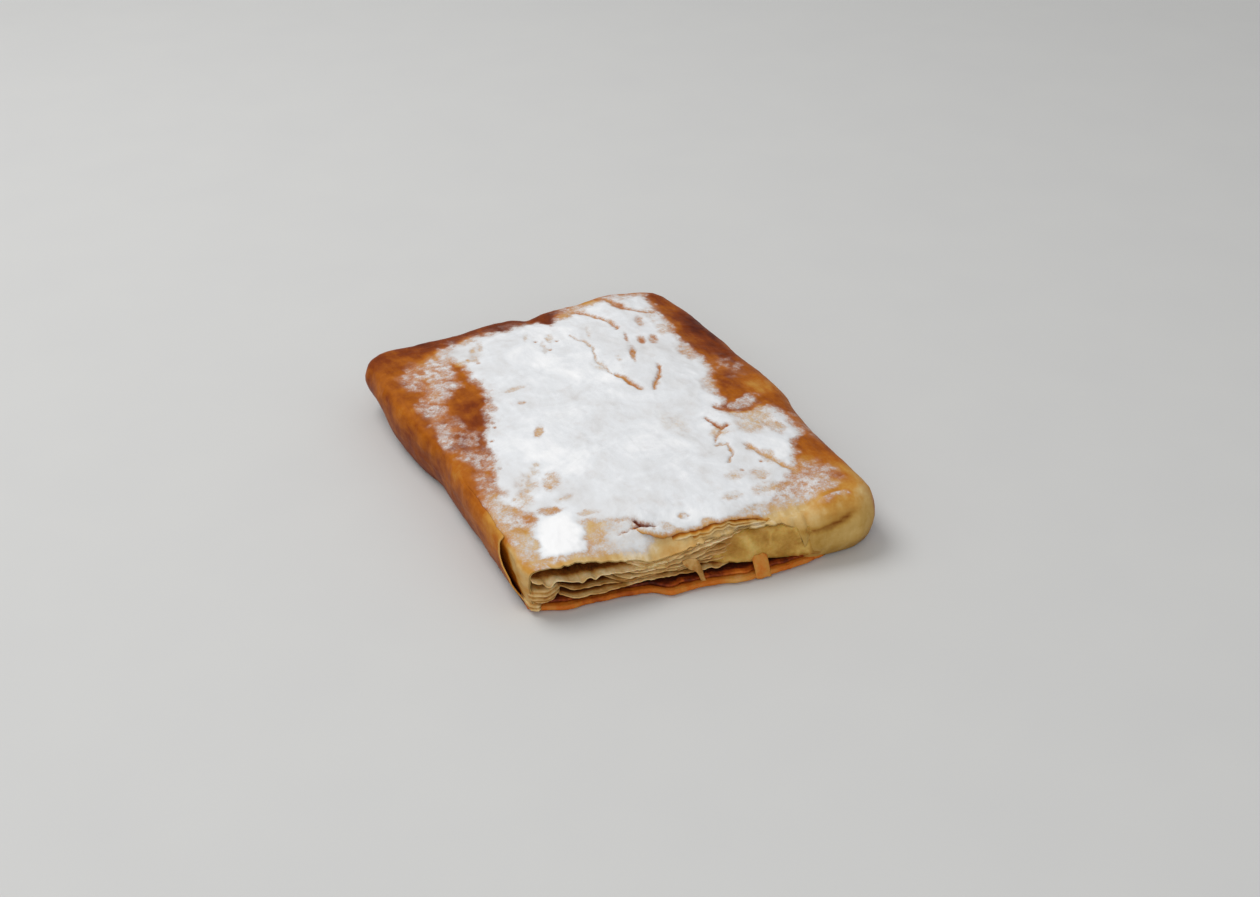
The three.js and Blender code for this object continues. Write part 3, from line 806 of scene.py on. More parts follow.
# How far down its side the sheet reaches above the mouth: place across, share of the full flank.
curl_reach = through([
    (CURL_START, 0.08), (0.34, 0.11), (0.44, 0.16), (0.5, 0.24), (0.55, 0.4), (0.59, 0.66), (CURL_END, 1),
])

# A fold in the face of the right corner, which goes on from the edge of the top sheet: x, height.
corner_crease = through([(26, 13.4), (32, 12.8), (38, 13.4), (44, 15), (50, 17)])

SKIN_RECESS = 1.9 * MM


def rim_numbers(columns, rows, start_column):
    """Grid places round the top sheet from the open end, by the right and the back, to the left front."""
    rim = [(0, i) for i in range(start_column, columns)]
    rim += [(j, columns) for j in range(rows)]
    rim += [(rows, i) for i in range(columns, 0, -1)]
    rim += [(j, 0) for j in range(rows, -1, -1)]
    return tuple(np.array(rim).T)


EVENING = 7  # how many columns on each side even out the direction of a flank


def rim_normals(x, y):
    """Level outward directions along the rim, evened out round the corners."""
    across, along = np.gradient(y), -np.gradient(x)
    length = np.hypot(across, along)
    kernel = np.hanning(2 * EVENING + 1)
    kernel /= kernel.sum()
    padded = [np.pad(n / length, EVENING, mode="edge") for n in (across, along)]
    across, along = (np.convolve(n, kernel, mode="valid") for n in padded)
    square_end = smooth(np.arange(len(x)), len(x) - 2 * EVENING - 2, len(x) - 1)
    return mix(across, -1, square_end), mix(along, 0, square_end)


def skin_recess(y, t):
    """How far the left flank stands back under its outer skin, near the open end."""
    near_end = smooth(-y, 38 * MM, 54 * MM) * (1 - 0.45 * smooth(-y, 58 * MM, 70 * MM))
    return SKIN_RECESS * near_end * smooth(t, 0.24, 0.45) * (1 - 0.9 * smooth(t, 0.5, 0.8))


def flank_relief(x, y, z):
    """Bulges and long folds of the flanks, in metres."""
    bulges = 0.9 * MM * clouds(x, y, z * 0.6, 22 * MM, 71, 2)
    folds = 0.45 * MM * (ridges(x * 0.5, y * 0.5, z * 1.6 + 0.12 * y, 7 * MM, 73) - 0.3)
    return bulges + folds + 0.14 * MM * clouds(x, y, z, 3 * MM, 79)


def flank_bake(x, y, z, t):
    """Browning of a flank, darker towards its foot."""
    return 0.7 + 0.2 * smooth(t, 0.55, 1) + 0.14 * clouds(x, y, z, 11 * MM, 83)


def flank_shape(x, y, z, across, t, normals):
    """Points of the flank strip below the rim, ring by ring."""
    normal_x, normal_y = normals
    left = smooth(-normal_x, 0.5, 0.9)
    squareness = left * (1 - 0.35 * smooth(y, 50 * MM, 68 * MM))
    reach, height = flank_profile(t, z[None, :], squareness)
    reach = reach * mix(0.3, 1, smooth(across, CURL_START, FRONT_FULL))
    turn = np.clip((-56 * MM - y) / (13 * MM), 0, 1) * left
    reach = reach * np.sqrt(1 - 0.25 * turn**2) - skin_recess(y, t) * left
    back_corner = (1 - left) * smooth(-x, 38 * MM, 54 * MM) * smooth(y, 58 * MM, 68 * MM)
    front = smooth(-normal_y, 0.2, 0.8)
    tuck = left_tuck(y / MM) * left + FRONT_TUCK * front + BACK_CORNER_TUCK * back_corner
    reach = reach - tuck * MM * smooth(t, 0.42, 0.85)
    lumps = flank_relief(x + normal_x * reach, y + normal_y * reach, height)
    reach = reach + lumps * np.sin(math.pi * np.minimum(1, t * 1.15)) ** 0.6
    end_slant = 3 * MM * t * smooth(turn, 0, 1)
    return x + normal_x * reach, y + normal_y * reach + end_slant, np.maximum(height, FOOT_HEIGHT)


def fold_strength(x, z, front):
    """1 along the fold in the face of the right corner, falling to 0 beside it."""
    near = hump(z - corner_crease(x / MM) * MM, 0, 0.9 * MM) * front
    return near * smooth(x, 26 * MM, 32 * MM) * (1 - smooth(x, 44 * MM, 50 * MM))


def flank_points(x, y, z, across):
    """The flank strip below the rim with its masks, in the frame of the model.

    The share of the half width, across, is given for the columns over the mouth.
    """
    normals = rim_normals(x, y)
    normal_x, normal_y = normals
    left, right = smooth(-normal_x, 0.5, 0.9), smooth(normal_x, 0.2, 0.8)
    front = smooth(-normal_y, 0.2, 0.8)
    t = np.linspace(0, 1, FLANK_RINGS + 1)[1:, None] * np.where(across < CURL_END, curl_reach(across), 1)
    x, y, z = flank_shape(x, y, z, across, t, normals)

    seen_level = np.where(left > 0.5, z, np.maximum(z, SEEN_LEVEL))
    cover, bake, _ = top_looks(x, y, seen_level)
    own_bake = flank_bake(x, y, z, t) - 0.02 * right - 0.3 * front + 0.08 * smooth(y, 48 * MM, 66 * MM)
    bake = mix(bake, own_bake, smooth(t, 0.15, 0.6))
    crease = fold_strength(x, z, front)
    # Painted shade along the fold in the right corner's face, which is also pushed back below.
    bake = bake + (0.34 * crease + 0.1 * front * clouds(x, y, z, 4 * MM, 85)) * (1 - left)
    y = y + 0.5 * MM * crease
    ahead = slit(z / MM) * MM - y
    under_skin = smooth(ahead, -1.5 * MM, 0) * left * smooth(t, 0.22, 0.34)
    shadow = 1 - smooth(ahead, 0, 1 * MM + 0.24 * z)
    bake = mix(bake, 0.28 + 0.34 * shadow, under_skin)
    cover = cover * (1 - smooth(t, 0.15, 0.5)) * (1 - under_skin) * smooth(across, 0.6, FRONT_FULL)
    return x, y, z, {"bake": bake, "dust": cover, "inside": front * smooth(t, 0.1, 0.5)}


def open_edge_bareness(x, behind):
    """Share of the sugar left near the front edge: none on the very edge or under the upper flap."""
    bare_band = mix(1.4 * MM, 1.2 * MM, smooth(x, -20 * MM, 36 * MM))
    start = x + 2.6 * MM * clouds(x, behind, 0, 4 * MM, 89)
    flap_band = 6.5 * MM * smooth(start, -26 * MM, -12 * MM) * (1 - smooth(x, 12 * MM, 24 * MM))
    band = np.maximum(bare_band, flap_band)
    return smooth(behind + 0.8 * MM * clouds(x, behind, 0, 3 * MM, 87), band - 1 * MM, band + 1.6 * MM)


def build_wrap():
    """The baked parcel itself with its deep mouth; gives the points of its flanks."""
    shape = Shape()
    u, v = np.meshgrid(np.linspace(-1, 1, TOP_COLUMNS + 1), np.linspace(-1, 1, TOP_ROWS + 1))
    x, y, z = wrap_top(u, v)
    cover, bake, depth = top_looks(x, y, z)
    cover = cover * open_edge_bareness(x, front_distance(u, v))
    away_from_rim = 1 - smooth(np.maximum(np.abs(u), v), 0.93, 1)
    z = z + relief(x, y, z) - depth * away_from_rim + sugar_relief(x, y, cover) * away_from_rim
    top = shape.add(x, y, z, bake=bake, dust=cover)
    shape.skin(top)

    start_column = round(TOP_COLUMNS * (CURL_START + 1) / 2)
    rim = rim_numbers(TOP_COLUMNS, TOP_ROWS, start_column)
    across = np.where((rim[0] == 0) & (u[rim] > 0), u[rim], BESIDE_MOUTH)
    foot_start = int(np.count_nonzero(across < CURL_END))
    fx, fy, fz, looks = flank_points(x[rim], y[rim], z[rim], across)
    flank = shape.add(fx, fy, fz, **looks)
    shape.skin(np.vstack([top[rim][None, :], flank]), flip=True)

    # the lower lip of the mouth runs from the left foot to the right foot, behind the bottom sheet's
    share = np.linspace(0, 1, start_column)[1:-1]
    lip_x = mix(fx[-1, -1], fx[-1, foot_start], share)
    lip_y = front_line(lip_x) + 4 * MM
    lip_y = mix(lip_y, fy[-1, foot_start], smooth(share, 0.9, 1))
    lip_y = mix(fy[-1, -1], lip_y, smooth(share, 0, 0.08))
    lip = shape.add(lip_x, lip_y, FOOT_HEIGHT, bake=0.8, inside=1)
    shape.lid([*flank[-1, foot_start:], *lip], flip=True)

    upper_edge = [*top[0, : start_column + 1], *flank[:, 0], *flank[-1, 1 : foot_start + 1]]
    mouth = [*upper_edge, *lip[::-1], *flank[::-1, -1]]
    add_hollow(shape, np.array(mouth))
    shape.settle("phyllo_wrap", CRUST, "phyllo_crust", "phyllo_parcel")
    return fx, fy, fz


# The hollow inside the mouth: how far back each ring lies, and the box that it opens into.
HOLLOW_RINGS = [0.0, 0.6, 2.5, 6, 11, 18, 30, 55, 90, 138]
HOLLOW_FRONT = -72 * MM
HOLLOW_HALF_WIDTH = 51 * MM
HOLLOW_LOW = 3.4 * MM
HOLLOW_MIDDLE = 10 * MM
HOLLOW_HIGH = 15.6 * MM


def add_hollow(shape, mouth):
    """Lines the mouth with ring after ring and closes the last one far inside."""
    px, py, pz = shape.all_points()[mouth].T
    high = pz > HOLLOW_MIDDLE
    target_x = np.clip(px, -HOLLOW_HALF_WIDTH, HOLLOW_HALF_WIDTH)
    off_middle = np.clip(np.abs(pz - HOLLOW_MIDDLE) / (6 * MM), 0, 1)
    target_z = mix(HOLLOW_MIDDLE, np.where(high, HOLLOW_HIGH, HOLLOW_LOW), off_middle)
    previous = mouth
    for back in HOLLOW_RINGS:
        deep = smooth(back, 0, 14)
        wall = WALL * (0.6 if back == 0 else 1)
        wall_x = px - np.sign(px) * wall * smooth(np.abs(px), 40 * MM, 52 * MM)
        wall_z = pz - wall * np.where(high, 1, -1)
        ring_x, ring_z = mix(wall_x, target_x, deep), mix(wall_z, target_z, deep)
        ring_y = mix(py, HOLLOW_FRONT, deep) + back * MM
        # The rings darken further back into the hollow: painted shade.
        ring = shape.add(ring_x, ring_y, ring_z, bake=0.3 + 0.32 * smooth(back, 0, 10), inside=1)
        shape.skin(np.vstack([np.append(previous, previous[0]), np.append(ring, ring[0])]))
        previous = ring
    shape.lid(previous)


# ---- sheets at the open end ------------------------------------------------------------
# Edges are seen from the front: x and z in millimetres, in the leaning plane of the open end.


def strip(low, high, columns, rows, crowding=1):
    """A grid of places along X and of shares of its depth, with its rows crowded at the edge."""
    x = np.linspace(low, high, columns)[None, :] * MM
    share = np.linspace(0, 1, rows)[:, None] ** crowding
    return np.broadcast_arrays(x, share)


# name, how far in it runs, how much it rises, over what depth, how far it juts out, browning, edge
LEAVES = [
    ("leaf_a", 30, 1.5, 14, -1.2, 0.2, [
        (-33, 14.2), (-26, 13), (-19, 11.2), (-13, 12), (-6, 14), (1, 15.8), (8, 17), (15, 16.6),
    ]),
    ("leaf_b", 30, 1.5, 14, -0.3, 0.3, [
        (-33, 13.4), (-26, 12.4), (-19, 10.7), (-13, 11.4), (-7, 13.2), (0, 15.1), (7, 16.5), (15, 16),
    ]),
    ("leaf_c", 30, 1.4, 14, 0.1, 0.22, [
        (-32, 12.6), (-26, 11.8), (-19, 10.3), (-12, 10.9), (-6, 12.4), (1, 14.2), (8, 15.6), (15, 15.4),
    ]),
    ("leaf_d", 30, 1.3, 14, -0.7, 0.34, [
        (-32, 11.8), (-25, 11), (-18, 9.8), (-11, 10.3), (-5, 11.8), (1, 13.2), (8, 14.8), (14, 14.8),
    ]),
    ("leaf_e", 30, 1.2, 12, 0.2, 0.25, [
        (-32, 11), (-23, 10.1), (-16, 9.2), (-9, 9.8), (-3, 11.1), (4, 12.6), (12, 14),
    ]),
    ("leaf_f", 30, 1, 12, -0.4, 0.3, [
        (-34, 10), (-26, 9.2), (-18, 8.7), (-11, 9.1), (-4, 10), (3, 11.6), (11, 13),
    ]),
    ("leaf_g", 30, 0.8, 12, 0.3, 0.3, [
        (-36, 8.9), (-28, 8.2), (-20, 7.9), (-12, 8.2), (-4, 8.9), (3, 10.4), (11, 12),
    ]),
    ("leaf_h", 30, 0.6, 12, -0.5, 0.4, [
        (-38, 7.7), (-29, 7.3), (-20, 7), (-12, 7.2), (-6, 7.4), (2, 8.8), (10, 10.4),
    ]),
    ("leaf_i", 32, 0.4, 12, -0.9, 0.42, [
        (-46.5, 7.2), (-42, 6.6), (-36, 6.6), (-28, 6.3), (-19, 6.2), (-10, 6.3), (-2, 6.8), (6, 7.6),
        (14, 8),
    ]),
    ("leaf_j", 32, 0.2, 12, 0.2, 0.35, [
        (-47, 4.8), (-43, 4.3), (-38, 4.6), (-29, 5.2), (-19, 5.5), (-9, 5.3), (-1, 4.9), (7, 4.6),
        (14, 4.4),
    ]),
    ("leaf_droop", 26, 1.2, 10, 0.2, 0.1, [
        (-56.5, 13.4), (-55, 12.8), (-53.6, 12.6), (-52, 10.4), (-50.8, 10.2), (-49.4, 11.6), (-47, 11.4),
        (-44, 10.8), (-42, 10), (-40.9, 9.4), (-39.6, 10.5), (-38, 10.5), (-36.8, 9.7), (-35.6, 10.5),
        (-32, 10.8), (-28, 10.2), (-22, 10.4), (-14, 10.8),
    ]),
]
LEAF_THICKNESS = 0.42 * MM
LEAF_RAGGEDNESS = 0.9 * MM
LEAF_ROWS = 26
LEAF_CROWDING = 1.6
COLUMNS_PER_MM = 2.6
# Past a place of its own, a leaf stands this much further back, which it reaches over this length.
RIGHT_SETBACK = 2.4 * MM
RIGHT_SETBACK_LENGTH = 11 * MM
SHARED_SWELL = 0.35 * MM  # of neighbouring leaves, so that they keep their order
# How far the left end of a leaf is drawn back, and over what length.
END_SETBACK = (8, 10)
OTHER_END_SETBACKS = {"leaf_i": (3, 5), "leaf_j": (3, 5), "leaf_droop": (0, 5)}
# Painted shade between the leaves: where a leaf begins to darken behind its edge, and by how much.
LEAF_SHADE = (0.7, 0.66)
OTHER_LEAF_SHADES = {"leaf_droop": (1.3, 0.7)}


def build_leaf(name, depth, rise, rise_depth, jut, bake, edge):
    """One sheet of phyllo that runs from the open end into the parcel."""
    height = through(edge)
    seed = 7 * len(name) + ord(name[-1])
    low, high = edge[0][0], edge[-1][0]
    x, share = strip(low, high, int((high - low) * COLUMNS_PER_MM), LEAF_ROWS, LEAF_CROWDING)
    inward = share * depth * MM
    set_back_from = (7 * seed % 11 - 3) * MM
    y = front_line(x) + LEAF_RAGGEDNESS * clouds(x, 0, 0, 3.2 * MM, seed) - jut * MM + inward
    y = y + RIGHT_SETBACK * smooth(x, set_back_from, set_back_from + RIGHT_SETBACK_LENGTH)
    setback, length = OTHER_END_SETBACKS.get(name, END_SETBACK)
    y = y + setback * MM * (1 - smooth(x, x.min(), x.min() + length * MM))
    climb = 1 - (1 - np.clip(inward / (rise_depth * MM), 0, 1)) ** 2
    evened = sum(height(x / MM + shift) for shift in (-4, -2, 0, 2, 4)) / 5
    z = mix(height(x / MM), evened, smooth(inward, 0, 4 * MM)) * MM + rise * MM * climb
    z = z + SHARED_SWELL * clouds(x, y, 0, 6 * MM, 91, 2)
    z = z + 0.22 * MM * clouds(x, y, 0, 2.2 * MM, seed + 3, 2)
    # Painted shade: each leaf darkens behind its edge, in the gaps between leaves.
    shade_from, painted_shade = OTHER_LEAF_SHADES.get(name, LEAF_SHADE)
    tone = bake + painted_shade * smooth(inward, shade_from * MM, (shade_from + 2.6) * MM)
    tone = tone + 0.3 * clouds(x, y, 0, 4 * MM, seed)
    make_sheet(name, INNER_PHYLLO, "phyllo_leaf", x, y, z, LEAF_THICKNESS, bake=np.clip(tone, 0, 1))


# name, middle along X and Z, half width, half height, how far it stands back, its depth, seed
LUMPS = [
    ("leaf_folded_end", -51.6, 6.7, 5.5, 2.7, 0.3, 18, 131),
    ("leaf_folded_foot", -53.8, 2.5, 3.2, 1.8, 1.3, 5, 141),
]
LUMP_RINGS = np.array([0.11, 0.28, 0.56, 1])  # shares of a lump's depth, behind its rounded end
LUMP_NOSE = 2.6 * MM  # depth of the rounded end
LUMP_COLUMNS = 60
LUMP_NOSE_ROWS = 15


def build_lump(name, middle_x, middle_z, half_width, half_height, setback, depth, seed):
    """A folded, rounded end of several sheets in the left corner of the mouth."""
    middle_x, middle_z, half_width, half_height = (
        size * MM for size in (middle_x, middle_z, half_width, half_height)
    )
    turn = np.linspace(0, 2 * math.pi, LUMP_COLUMNS, endpoint=False)[None, :]
    reach = np.linspace(0, 1, LUMP_NOSE_ROWS + 1)[1:, None]
    back = LUMP_RINGS[:, None] * depth * MM
    size = np.concatenate([np.sin(reach * math.pi / 2), np.ones_like(back)])
    inward = np.concatenate([LUMP_NOSE * (1 - np.sqrt(1 - reach**2 * 0.999)), LUMP_NOSE + back])
    x = middle_x + half_width * size * signed_power(np.cos(turn), 0.75)
    z = middle_z + half_height * size * signed_power(np.sin(turn), 0.8) - 0.1 * (x - middle_x)
    y = front_line(x) + setback * MM + inward + 3 * MM * smooth(x, middle_x - 1 * MM, middle_x + half_width)
    dents = clouds(x, y, z, 3 * MM, seed)
    layers = np.sin(2 * math.pi * (z + 0.12 * x) / (1.5 * MM) + 2 * dents)
    y = y + (0.7 * dents + 0.22 * layers) * MM
    z = z + 0.4 * MM * clouds(x, y, z, 4 * MM, seed + 6, 2)
    shape = Shape()
    # Darker where the dents and folds sink back: painted shade in them.
    rings = shape.add(x, y, z, bake=np.clip(0.4 + 0.25 * dents + 0.14 * layers, 0, 1))
    shape.skin(np.hstack([rings, rings[:, :1]]), flip=True)
    shape.lid(rings[0])
    shape.lid(rings[-1], flip=True)
    shape.settle(name, INNER_PHYLLO, "phyllo_leaf")


# Front edge of the browned bottom sheet: x and y.
bottom_edge = through([
    (-56, -64.6), (-53, -66.8), (-49, -68.4), (-44, -69.9), (-38, -69.8), (-33, -70.5), (-28, -70.9),
    (-22, -72.2), (-18, -73.6), (-14.6, -76.6), (-9, -76.6), (-4, -77.3), (1.4, -78.1), (8, -79.7),
    (15, -80.3), (23, -80.6), (28, -80.3), (33, -80), (38, -78.6),
])
# name, height of its middle, thickness, setback, browning, from and to along X, raggedness
BOTTOM_SHEETS = [
    ("bottom_sheet", 1.05, 1.8, 0.0, 0.52, -56, 38, 0.4),
    # bottom_leaf is dark: its own browning, and painted shade of the gap above the lower lip.
    ("bottom_leaf", 2.7, 0.9, 1.5, 0.86, -53, 33, 0.7),
]
BOTTOM_DEPTH = 22 * MM
BOTTOM_COLUMNS = 230
BOTTOM_ROWS = 22
BOTTOM_CROWDING = 1.5


def build_bottom_sheet(name, level, thickness, setback, bake, low, high, raggedness):
    """A browned sheet under the mouth: the parcel's own bottom, or a thinner one on it."""
    x, share = strip(low, high, BOTTOM_COLUMNS, BOTTOM_ROWS, BOTTOM_CROWDING)
    inward = share * BOTTOM_DEPTH
    ragged = raggedness * MM * clouds(x, 0, 0, 3.4 * MM, 151 + len(name))
    y = bottom_edge(x / MM) * MM + setback * MM + ragged + inward
    lift = 0.16 * MM * clouds(x, y, 0, 4 * MM, 157 + len(name))
    z = level * MM + lift + 0.1 * MM * smooth(inward, 0, 3 * MM)
    # Darker behind the front edge: painted shade in the gap under the leaves.
    tone = bake + 0.2 * clouds(x, y, 0, 4 * MM, 163) + 0.4 * smooth(inward, 0.9 * MM, 2.6 * MM)
    tone = tone + 0.1 * (1 - smooth(x, -26 * MM, 0)) - 0.16 * hump(x, 10 * MM, 7 * MM)
    make_sheet(name, BROWNED_BOTTOM, "phyllo_crust", x, y, z, thickness * MM, bake=np.clip(tone, 0, 1))


# name, material, slot, upper edge, lower edge, how far it stands out (at its top, more at its foot,
# power between them), browning, thickness
HANGING_SCRAPS = [
    (
        "leaf_hanging", INNER_PHYLLO, "phyllo_leaf",
        [(-9.4, 10), (-6.4, 10.4), (-4.4, 9.4), (-3.2, 6.4), (-2.2, 3)],
        [(-9.4, 9.6), (-7.4, 7.4), (-5.6, 6.4), (-4.2, 4), (-3.4, 1.6), (-2.2, 2.2)],
        (0.7, 1.3, 1), 0.5, 0.4,
    ),
    (
        "torn_flap", BROWNED_FLAP, "phyllo_crust",
        [(13.4, 6.2), (14.4, 7.2), (15.6, 7), (16.8, 7.4), (18, 6.4)],
        [(13.4, 0.8), (15, 0.5), (16.4, 0.9), (18, 0.7)],
        (1.4, 3.4, 0.8), 0.36, 0.5,
    ),
]
SCRAP_ROWS = 24


def build_scrap(name, material, slot, upper, lower, outward, bake, thickness):
    """A scrap hanging in the open end, between an upper and a lower edge."""
    start, stop = upper[0][0], upper[-1][0]
    seed = 11 * len(name)
    x, down = strip(start, stop, int((stop - start) * COLUMNS_PER_MM), SCRAP_ROWS)
    z = mix(through(upper)(x / MM), through(lower)(x / MM), down) * MM
    z = z + 0.22 * MM * clouds(x, 0, 0, 2.6 * MM, seed) * (1 - down)
    at_top, more, power = outward
    y = front_line(x) - (at_top + more * down**power) * MM + 0.35 * MM * clouds(x, 0, z, 4 * MM, seed + 1)
    tone = bake + 0.2 * clouds(x, y, z, 3 * MM, seed + 2)
    make_sheet(name, material, slot, x, y, z, thickness * MM, bake=np.clip(tone, 0, 1))


# ---- custard ---------------------------------------------------------------------------
# Along X: how far forward the custard reaches, and the heights of its top and its base there.

custard_front = through([
    (-46, -44), (-34, -52), (-18, -58), (-4, -68), (2, -73.4), (8, -75.6), (14, -77.4), (20, -78.6),
    (27, -80.2), (33, -81.4), (37, -81), (41, -76), (47, -70),
])
custard_top = through([
    (-46, 12.2), (-6, 12.2), (2, 13.4), (8, 15.2), (16, 16), (28, 15.4), (36, 14), (47, 13),
])
custard_base = through([(-46, 5), (-6, 5), (4, 4), (16, 3.4), (28, 2.8), (36, 2), (47, 1.6)])
CUSTARD_SWELL = 16 * MM  # depth over which the custard swells out towards the open end
CUSTARD_NOSE = 3.4 * MM  # depth of its rounded end
CUSTARD_BACK = CUSTARD_HIGH.y - 1.5 * MM
CUSTARD_COLUMNS = 190
CUSTARD_ROWS = 39  # along its top and along its base
CUSTARD_NOSE_ROWS = 25


def custard_height(x, share, inward):
    """Height on the custard slab: share runs round from its base (-1) to its top (1)."""
    swell = 1 - smooth(inward, 2 * MM, CUSTARD_SWELL)
    top = mix(CUSTARD_HIGH.z, custard_top(x / MM) * MM, swell)
    base = mix(CUSTARD_LOW.z, custard_base(x / MM) * MM, swell)
    return (top + base) / 2 + share * (top - base) / 2


def build_custard():
    """A slab through the parcel with a soft bulging end at the right half of the mouth."""
    x = np.linspace(CUSTARD_LOW.x, CUSTARD_HIGH.x, CUSTARD_COLUMNS)[None, :]
    front = custard_front(x / MM) * MM
    length = CUSTARD_BACK - front - CUSTARD_NOSE
    slab = CUSTARD_NOSE + np.linspace(0, 1, CUSTARD_ROWS + 1)[1:, None] ** 1.3 * length
    angle = np.linspace(-math.pi / 2, math.pi / 2, CUSTARD_NOSE_ROWS)[:, None]
    nose = np.broadcast_to(CUSTARD_NOSE * (1 - np.cos(angle)) ** 1.2, (CUSTARD_NOSE_ROWS, x.size))
    inward = np.concatenate([slab[::-1], nose, slab])
    ends = np.ones((CUSTARD_ROWS, 1))
    share = np.concatenate([-ends, signed_power(np.sin(angle), 0.6), ends])
    y = front + inward
    z = custard_height(x, share, inward)
    x = np.broadcast_to(x, y.shape)
    lumps = clouds(x, y, z, 6 * MM, 171)
    folds = ridges(0.9 * x + 0.5 * z, 0, 0.5 * z - 0.2 * x, 4.2 * MM, 173) - 0.3
    creased = 0.8 * MM * lumps - 1.1 * MM * folds * (1 - smooth(x, 24 * MM, 34 * MM))
    y = y + (1 - smooth(inward, 4 * MM, 12 * MM)) * creased
    shape = Shape()
    # Painted shade and light: darker where the lumps sink back, lighter on the crests of the folds.
    grid = shape.add(x, y, z, bake=np.clip(0.46 + 0.3 * lumps - 0.4 * folds, 0, 1))
    shape.skin(grid)
    shape.lid(grid[:, 0])
    shape.lid(grid[:, -1], flip=True)
    shape.lid([*grid[0], *grid[-1, ::-1]], flip=True)
    shape.settle("custard_filling", CUSTARD, "custard", "custard")


# ---- torn outer skin and upper flap ----------------------------------------------------

SKIN_TOP_RING = 7  # the ring of the flank at which the torn skin begins
SKIN_BACK = -12 * MM  # place along Y where the torn skin comes out of the flank
SKIN_THICKNESS = 0.45 * MM
SKIN_COLUMNS = 110
SKIN_RAGGEDNESS = 1.5 * MM


def build_flank_skin(flank):
    """The outermost sheet of the left flank, torn and lifted along its front edge."""
    fx, fy, fz = flank
    left = fx[SKIN_TOP_RING + 1] < -50 * MM
    rings = np.arange(SKIN_TOP_RING, FLANK_RINGS)
    share = np.linspace(0, 1, SKIN_COLUMNS)
    x, y, z = [], [], []
    for ring in rings:
        order = np.argsort(fy[ring, left])
        along_y, along_x, along_z = (a[ring, left][order] for a in (fy, fx, fz))
        line_y = mix(SKIN_BACK, slit(along_z.mean() / MM) * MM, share)
        x.append(np.interp(line_y, along_y, along_x))
        z.append(np.interp(line_y, along_y, along_z))
        y.append(line_y)
    x, y, z = np.array(x), np.array(y), np.array(z)
    t = (rings / FLANK_RINGS)[:, None]
    angle = np.minimum(t / UPPER_PART, 1) * math.pi / 2
    ragged = SKIN_RAGGEDNESS * clouds(0, 0, z, 3 * MM, 181)
    lift = (-0.3 + 0.7 * smooth(share, 0.08, 0.5) + 0.25 * smooth(share, 0.8, 1)) * MM
    lift = lift * (0.5 + 0.5 * smooth(t, 0.26, 0.4)) * (1 - 0.6 * smooth(t, 0.55, 0.85)) + skin_recess(y, t)
    x = x - np.sin(angle) * lift
    z = z + np.cos(angle) * lift
    y = y + ragged * smooth(share, 0.8, 1)
    _, bake, _ = top_looks(x, y, z)
    bake = mix(bake, flank_bake(x, y, z, t), smooth(t, 0.15, 0.6))
    bake = mix(bake, 0.38, smooth(share, 0.975, 1))
    make_sheet("flank_skin", CRUST, "phyllo_crust", x, y, z, SKIN_THICKNESS, bake=bake)


# Edge of the upper flap in plan: x and y, from its torn left end to the right.
flap_edge = through([
    (-23, -61), (-20.5, -65.2), (-18.6, -67.6), (-16.6, -69), (-13, -69.6), (-9, -70.4), (-4, -71.8),
    (1, -73), (6, -74), (11, -75), (16, -75.6), (21, -75.6), (26, -75),
])

# name, from and to along X, how far its edge lies before that of the upper flap, share of its
# lift, browning, depth, rows, thickness
FLAPS = [
    ("upper_flap", -23, 26, 0, 1, 0.46, 24, 60, 0.5),
    ("flap_leaf_a", -12, 25, 0.5, 0.66, 0.3, 9, 24, 0.35),
    ("flap_leaf_b", -6, 28, 0.9, 0.34, 0.24, 9, 24, 0.35),
]
FLAP_COLUMNS = 190
FLAP_CROWDING = 1.3
FLAP_RAGGEDNESS = 0.8 * MM


def build_flap(wrap_height, name, low, high, ahead, lifted, edge_bake, depth, rows, thickness):
    """A torn sheet that lies on the wrap above the mouth; the uppermost is dusted with sugar."""
    x, share = strip(low, high, FLAP_COLUMNS, rows, FLAP_CROWDING)
    inward = share * (depth * MM)
    ragged = FLAP_RAGGEDNESS * clouds(x, 0, 0, 4 * MM, 190 + len(name))
    y = flap_edge(x / MM) * MM - ahead * MM + ragged + inward
    left_end = smooth(x, low * MM, (low + 6) * MM)
    right_end = 1 - smooth(x, (high - 14) * MM, (high - 3) * MM)
    lift = 1.5 * hump(x, 6 * MM, 9 * MM) + 1.1 * hump(x, -17 * MM, 3.5 * MM) + 0.75
    over = mix(-0.5, lift * lifted, (1 - smooth(inward, 1 * MM, 15 * MM)) * left_end * right_end)
    z = wrap_height(x, y) + over * MM + 0.15 * MM * noise(x, y, 0, 3 * MM, 197) * left_end
    edge = 1 - smooth(inward, 0, 1.3 * MM)
    if name == "upper_flap":
        cover, bake, carved = top_looks(x, y, z)
        cover = cover * (1 - 0.8 * edge)
        bake = mix(bake, edge_bake, edge)
        z = z - carved * 0.5 + sugar_relief(x, y, cover)
    else:
        cover = 0
        # Painted shade: darker behind the edge, under the flap above.
        bake = edge_bake + 0.5 * (1 - edge) + 0.15 * clouds(x, y, 0, 4 * MM, 199)
    bake = np.clip(bake, 0, 1)
    make_sheet(name, CRUST, "phyllo_crust", x, y, z, thickness * MM, bake=bake, dust=cover)


SURFACE_COLUMNS = 301
SURFACE_ROWS = 401
SURFACE_CELL = 0.9 * MM
FILLING_ROUNDS = 12


